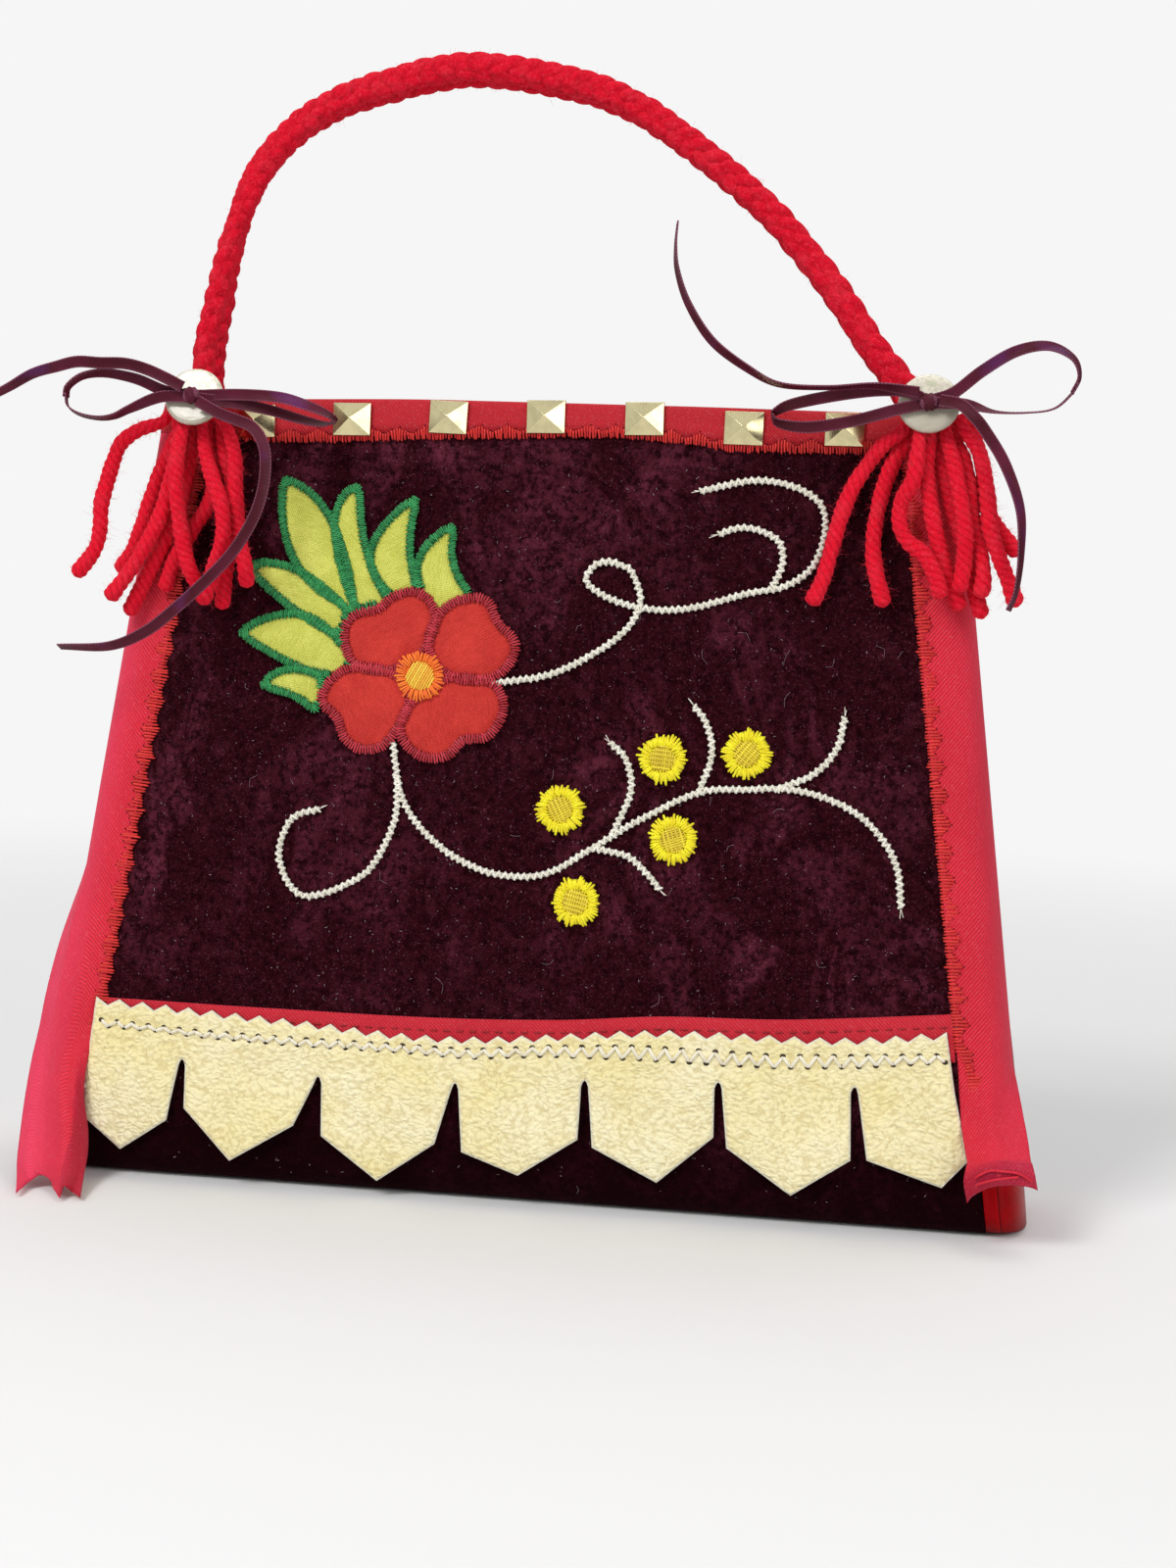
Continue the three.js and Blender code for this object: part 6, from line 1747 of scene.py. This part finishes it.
def stitched_stems(name, lines, node, rng):
    """Stems of satin stitch over a soft core, with ragged sides and short loose ends."""
    width = sizes().stem_width
    cloth = Cloth()
    for i, line in enumerate(lines):
        path = smooth(line, step=0.5)
        # The core's tint of -0.5 paints it darker, as the shade between the stitches.
        ridge(cloth, path, width * 0.72, 0.25, 0.4, -0.5)
        starts, ends = satin(path, width, sizes().pitch * 1.05, 0.45, rng, ragged=0.2, slant=0.6)
        threads(cloth, starts, ends, 0.66, 0.5 + 0.05 * (i % 2), rng)
        heading = unit(path[-1] - path[-4])
        for _ in range(2):
            spread = rng.uniform(-0.6, 0.6, 2)
            tip = path[-1] + heading * rng.uniform(1.2, 2.6) + spread
            threads(cloth, [[*path[-1], 0.5]], [[*tip, 0.3]], 0.2, 0.2, rng)
    cloth.piece(name, "stem", "stem_thread", node)


class BAG_OT_stems(bpy.types.Operator):
    """Works the curling white stems"""

    bl_idname = "bag.stems"
    bl_label = "Stems"

    def execute(self, context):
        stitched_stems("vine_stitches", VINE, "upper_vine", np.random.default_rng(34))
        stitched_stems("stem_stitches", STEM, "lower_stem", np.random.default_rng(35))
        return {"FINISHED"}


# Studs, buttons and handles

STUD_SPACING = 25.4
STUD_SIZE = (10, 8.5)
# How far each stud sits below the middle of the binding
STUD_DROPS = [2.9, 1.7, 0.5, -0.3, -0.5, 1.2, 0.8]
BUTTON_RADIUS = 7.6


class BAG_OT_studs(bpy.types.Operator):
    """Sets the seven plated studs along the binding"""

    bl_idname = "bag.studs"
    bl_label = "Studs"

    def execute(self, context):
        rng = np.random.default_rng(41)
        for i, drop in enumerate(STUD_DROPS):
            centre = np.array([-0.5 + (i - 3) * STUD_SPACING, PANEL_LENGTH - BINDING_HEIGHT / 2 - drop,
                               2 * CLEARANCE + BINDING_THICKNESS])
            turn = rng.uniform(-0.03, 0.03)
            corners = np.array([(-1, -1), (1, -1), (1, 1), (-1, 1)]) * 0.5
            rows = [(1.0, 0.0), (1.0, 0.35), (0.985, 0.6), (0.02, 3.45)]
            points = []
            for share, height in rows:
                flat = corners * STUD_SIZE * share
                x = flat[:, 0] * math.cos(turn) - flat[:, 1] * math.sin(turn)
                y = flat[:, 0] * math.sin(turn) + flat[:, 1] * math.cos(turn)
                points.append(joined(x, y, height) + centre)
            faces = [(3, 2, 1, 0), (12, 13, 14, 15)]
            for low in (0, 4, 8):
                for k in range(4):
                    after = low + (k + 1) % 4
                    faces.append((low + k, after, after + 4, low + k + 4))
            cloth = Cloth()
            cloth.add(bare_panel(np.vstack(points)), faces)
            stud = cloth.piece(f"plated_stud_{i + 1}", "stud", "stud_metal", f"stud_{i + 1}")
            edge = stud.modifiers.new("edge", "BEVEL")
            edge.width = 0.22 * MM
            edge.segments = 3
            edge.limit_method = "ANGLE"
            edge.angle_limit = math.radians(20)
            stud.modifiers.new("normals", "WEIGHTED_NORMAL").keep_sharp = True
        return {"FINISHED"}


class BAG_OT_buttons(bpy.types.Operator):
    """Makes the two mother of pearl buttons"""

    bl_idname = "bag.buttons"
    bl_label = "Buttons"

    def execute(self, context):
        tilt = math.radians(14)
        for name, seat in BUTTONS.items():

            def place(points, seat=seat):
                x, v, out = np.asarray(points, float).T
                turned = joined(x, v * math.cos(tilt) + out * math.sin(tilt),
                                out * math.cos(tilt) - v * math.sin(tilt))
                return bare_panel(turned + seat)

            angle = np.linspace(0, 2 * math.pi, 97)[:-1]
            rim = np.stack([np.cos(angle), np.sin(angle)], 1)
            holes = [rim[::4] * 0.9 + (side * 2.1, 0) for side in (-1, 1)]

            def face(x, v, edge):
                r = np.hypot(x, v)
                dish = -0.1 * np.exp(-((r - 6.5) / 0.16) ** 2) - 0.12 * ease(6.4, 2.0, r)
                fall = -0.6 * ease(0.7, 0.0, edge) * (r > 5)
                soft = -0.22 * ease(0.4, 0.0, edge) * (r < 5)
                return 0.9 + dish + fall + soft + 0.03 * np.sin(x * 1.1 + v * 0.7)

            def back(x, v, edge):
                return -0.9 + 0.35 * ease(0.5, 0.0, edge)

            cloth = Cloth()
            patch(cloth, rim * BUTTON_RADIUS, 0.42, face, back, place=place, holes=holes)
            cloth.piece(f"shell_button_{name}", "shell", "shell", f"button_{name}")
        return {"FINISHED"}


def rope_route(rear):
    """The middle of one handle, in world millimetres. The two touch at their tops."""
    touch = PLAIT_WIDTH / 2
    reach = (MOUTH_DEPTH + 6.0) / 2 + 1.8 - touch
    route = np.array([(across * TOP_HALF_WIDTH, -touch - out * reach, BAG_HEIGHT + up)
                      for across, out, up in ROPE_ROUTE])
    if rear:
        route[:, 0] -= 5 * ease(1 / 3, 1, -route[:, 0] / TOP_HALF_WIDTH)
        route[:, 1] *= -1
    return route


class BAG_OT_handles(bpy.types.Operator):
    """Plaits the two yarn handles, each of three strands of three yarns"""

    bl_idname = "bag.handles"
    bl_label = "Handles"

    def execute(self, context):
        rng = np.random.default_rng(51)
        scale = round(sizes().plait_width / PLAIT_WIDTH, 4)
        haze = Cloth()
        for name in ("front", "rear"):
            path = smooth(rope_route(name == "rear"), step=0.72)
            run = lengths(path)
            foot = ease(14, 4, np.minimum(run, run[-1] - run))
            twist = math.radians(80) * ease(70, 36, run) + 0.25 * np.sin(run / 37)
            side, up = strip_frames(path, (0, -1, 0), twist)
            cloth = Cloth()
            angle = turns(11)
            pace = 0.74 + 0.26 * ease(150, 260, run)
            pace = PERIOD["plait"] * pace * (1 + 0.07 * np.sin(run / 17))
            beat = np.cumsum(np.gradient(run) * 2 * math.pi / pace)
            for strand in range(3):
                phase = beat + strand * 2 * math.pi / 3
                wide = 1.36 * np.sin(phase)
                deep = 0.64 * np.sin(2 * phase)
                for yarn in range(3):
                    turn = run * 2 * math.pi / 46 + yarn * 2 * math.pi / 3 + strand
                    a = scale * (wide + 0.66 * np.cos(turn))[:, None] * (1 + 0.14 * foot)[:, None]
                    b = scale * (deep + 0.66 * np.sin(turn))[:, None] * (1 - 0.22 * foot)[:, None]
                    centre = path + a * side + b * up
                    ply = run * 2 * math.pi / 8.4 + rng.uniform(0, 6)
                    lobe = np.abs(np.cos(angle - ply[:, None])) ** 0.8
                    rings = yarn_rings(centre, strip_frames(centre, (0.1, -1, 0.1)), angle,
                                       scale * 1.92 * (0.95 + 0.05 * lobe))
                    cloth.tubes(rings, world, joined(run[:, None], angle / (2 * math.pi), lobe))
                    hairs(haze, path, rings, first=2, count=430, length=2.0, rng=rng, place=world)
            cloth.piece(f"plaited_handle_{name}", "rope", "rope_yarn", f"handle_{name}")
        haze.piece("handle_haze", "haze", "rope_yarn")
        return {"FINISHED"}


# Hand stitching along the ribbons


def scallop(distance):
    """Nought to one and back along a ribbon, once in each tooth of its stitching."""
    return 1 - np.abs((distance / PERIOD["scallop"] % 1) * 2 - 1)


class BAG_OT_ribbon_stitches(bpy.types.Operator):
    """Stitches the ribbons down with red silk: scallops at the sides and a zigzag at the top"""

    bl_idname = "bag.ribbon_stitches"
    bl_label = "Ribbon stitches"

    def execute(self, context):
        rng = np.random.default_rng(61)
        seam, holes = Cloth(), Cloth()
        for side, low in ((1, 37), (-1, 36)):
            v = np.arange(low, 193, 0.8)
            v = v + rng.uniform(-0.12, 0.12, len(v))
            tooth = scallop(v)
            edge = visible_edge(v)
            low_down = ease(48, 42, v) * (side > 0)
            onto = (0.9 + 2.7 * tooth if side > 0 else 0.5 + 2.3 * tooth) + 2.4 * low_down
            spike = 0.5 + 0.35 * rng.random(len(v)) + 0.7 * ease(0.7, 1, tooth) * rng.random(len(v))
            spike += 1.2 * tooth * (side < 0)
            onto = onto * rng.uniform(0.92, 1.08, len(v))
            starts = joined(side * (edge - spike + 2.6 * low_down), v, 0.4 + 0.6 * low_down)
            ends = joined(side * (edge + onto), v + rng.uniform(0.0, 0.5, len(v)), 1.02)
            threads(seam, starts, ends, 0.62, 0.3, rng)
            # Dark pricks at the stitch ends stand for needle holes, painted as the shade inside them.
            pricks = ends[tooth > 0.1][::2] + (side * 0.12, 0, -0.02)
            threads(holes, pricks, pricks + (side * 0.3, 0.05, 0), 0.36, 0.03, rng)
        x = np.arange(-84, 84.5, 0.72)
        tooth = scallop(x)
        foot = binding_foot(x)
        starts = joined(x + rng.uniform(-0.25, 0.25, len(x)), foot - rng.uniform(0.3, 1.0, len(x)),
                        0.4)
        ends = joined(x, foot + (0.9 + 1.7 * tooth) * rng.uniform(0.9, 1.1, len(x)), 1.4)
        threads(seam, starts, ends, 0.56, 0.3, rng)
        pricks = ends[::3] + (0, 0.1, 0)
        threads(holes, pricks, pricks + (0.05, 0.3, 0), 0.36, 0.03, rng)
        seam.piece("ribbon_seams", "seam", "binding_ribbon")
        holes.piece("ribbon_holes", "red_hole", "binding_ribbon")
        return {"FINISHED"}


class BAG_OT_lint(bpy.types.Operator):
    """Scatters the lint and stray hairs that cling to the velvet"""

    bl_idname = "bag.lint"
    bl_label = "Lint"

    def execute(self, context):
        rng = np.random.default_rng(71)
        lint = Cloth()
        spots = np.stack([rng.uniform(-108, 108, 900), rng.uniform(4, 192, 900)], 1)
        spots = spots[np.abs(spots[:, 0]) < visible_edge(spots[:, 1]) - 4]
        for x, v in spots:
            turn = rng.uniform(0, 2 * math.pi)
            reach = rng.uniform(0.15, 0.7) if rng.random() < 0.95 else rng.uniform(1.5, 5)
            bend = rng.uniform(-1, 1) * reach * 0.4
            along = np.array([math.cos(turn), math.sin(turn)])
            middle = (x, v) + along * reach / 2 + bend * np.array([-along[1], along[0]])
            path = raised(smooth([(x, v), middle, (x, v) + along * reach], count=5), 0.15)
            side, up = strip_frames(path, (0, 0, 1))
            size = np.full(5, rng.uniform(0.03, 0.07) if reach < 1 else 0.028)
            lint.tubes(ring_points(path, side, up, size, size, 3), on_panel)
        lint.piece("lint", "lint", "velvet")
        return {"FINISHED"}


class BAG_OT_stage(bpy.types.Operator):
    """Sets out the pale floor, the soft lights and the surroundings"""

    bl_idname = "bag.stage"
    bl_label = "Stage"

    def execute(self, context):
        scene = context.scene
        scene.view_settings.view_transform = "Standard"
        ground = Finish("floor", Roughness=0.85, Specular_IOR_Level=0.2,
                        Base_Color=(0.82, 0.82, 0.82))
        flat = ground.stretch(ground.place, (1, 1, 0))
        away = ground.node("VectorMath", {0: flat}, operation="LENGTH").outputs["Value"]
        clear = ground.node("BsdfTransparent")
        fade = ground.node("MapRange", {"Value": away, "From Min": 0.28, "From Max": 0.95},
                           interpolation_type="SMOOTHSTEP").outputs["Result"]
        seam = ground.node("MixShader", {0: fade, 1: ground.shader.outputs[0],
                                         2: clear.outputs[0]})
        ground.feed(ground.tree.nodes["Material Output"].inputs[0], seam.outputs[0])
        angle = np.linspace(0, 2 * math.pi, 65)[:-1]
        mesh = bpy.data.meshes.new("floor")
        mesh.from_pydata([(math.cos(a), math.sin(a), 0.0) for a in angle], [],
                         [tuple(range(64))])
        mesh.materials.append(ground.material)
        floor = bpy.data.objects.new("floor", mesh)
        floor.location.z = -0.0002
        scene.collection.objects.link(floor)
        scene.world = bpy.data.worlds.new("studio")
        scene.world.use_nodes = True
        sky = Nodes(scene.world.node_tree)
        ambient = sky.tree.nodes["Background"]
        sky.feed(ambient.inputs["Color"], (1, 1, 1))
        sky.feed(ambient.inputs["Strength"], 0.46)
        where = sky.node("TexCoord").outputs["Generated"]
        turn = sky.node("VectorMath", {0: where, 1: (-0.62, -0.25, 0.74)},
                        operation="DOT_PRODUCT").outputs["Value"]
        shine = sky.node("Background", {"Strength": sky.span(turn, -0.6, 0.85, 0.06, 1.0)})
        seen = sky.node("Background", {"Color": (0.92, 0.92, 0.92)})
        ray = sky.node("LightPath").outputs
        plain = sky.sum("MAXIMUM", ray["Is Camera Ray"], ray["Is Transmission Ray"])
        lit = sky.node("MixShader", {0: ray["Is Glossy Ray"], 1: ambient.outputs[0],
                                     2: shine.outputs[0]})
        shown = sky.node("MixShader", {0: plain, 1: lit.outputs[0], 2: seen.outputs[0]})
        sky.feed(sky.tree.nodes["World Output"].inputs["Surface"], shown.outputs[0])
        # Each lamp's name, its place and size in metres, and its power in watts
        lamps = [
            ("key", (-0.7, -1.1, 1.3), 0.6, 16.0),
            ("fill", (1.2, -1.0, 0.8), 0.9, 6.5),
            ("top", (0.1, 0.35, 1.5), 0.8, 6.0),
        ]
        for name, place, size, power in lamps:
            light = bpy.data.lights.new(name, "AREA")
            light.shape = "SQUARE"
            light.size = size
            light.energy = power
            lamp = bpy.data.objects.new(name, light)
            lamp.location = place
            lamp.rotation_euler = (Vector((0, 0, 0.12)) - Vector(place)).to_track_quat(
                "-Z", "Y").to_euler()
            scene.collection.objects.link(lamp)
        return {"FINISHED"}


class BAG_PT_handbag(bpy.types.Panel):
    """Lists what the handbag is made of, and its colours and sizes"""

    bl_idname = "BAG_PT_handbag"
    bl_label = "Velvet Handbag"
    bl_space_type = "VIEW_3D"
    bl_region_type = "UI"
    bl_category = "Handbag"

    def draw(self, context):
        for operator in OPERATORS:
            self.layout.operator(operator.bl_idname)
        for group in (cloths(), yarns(), sizes()):
            column = self.layout.column()
            for name in group.__annotations__:
                column.prop(group, name)


OPERATORS = (
    BAG_OT_camera, BAG_OT_tassels, BAG_OT_bows, BAG_OT_velvet, BAG_OT_gussets,
    BAG_OT_side_ribbons, BAG_OT_binding, BAG_OT_hem, BAG_OT_fringe, BAG_OT_leaves,
    BAG_OT_flower, BAG_OT_berries, BAG_OT_stems, BAG_OT_studs, BAG_OT_buttons,
    BAG_OT_handles, BAG_OT_ribbon_stitches, BAG_OT_lint, BAG_OT_stage,
)
GROUPS = {"bag_cloths": ClothColours, "bag_threads": ThreadColours, "bag_stitches": StitchSizes}


def register():
    for made in (*GROUPS.values(), *OPERATORS, BAG_PT_handbag):
        bpy.utils.register_class(made)
    for name, group in GROUPS.items():
        setattr(bpy.types.Scene, name, PointerProperty(type=group))


def unregister():
    for name in GROUPS:
        delattr(bpy.types.Scene, name)
    for made in (BAG_PT_handbag, *OPERATORS, *GROUPS.values()):
        bpy.utils.unregister_class(made)


def main():
    register()
    for operator in OPERATORS:
        group, name = operator.bl_idname.split(".")
        getattr(getattr(bpy.ops, group), name)()


if __name__ == "__main__":
    main()
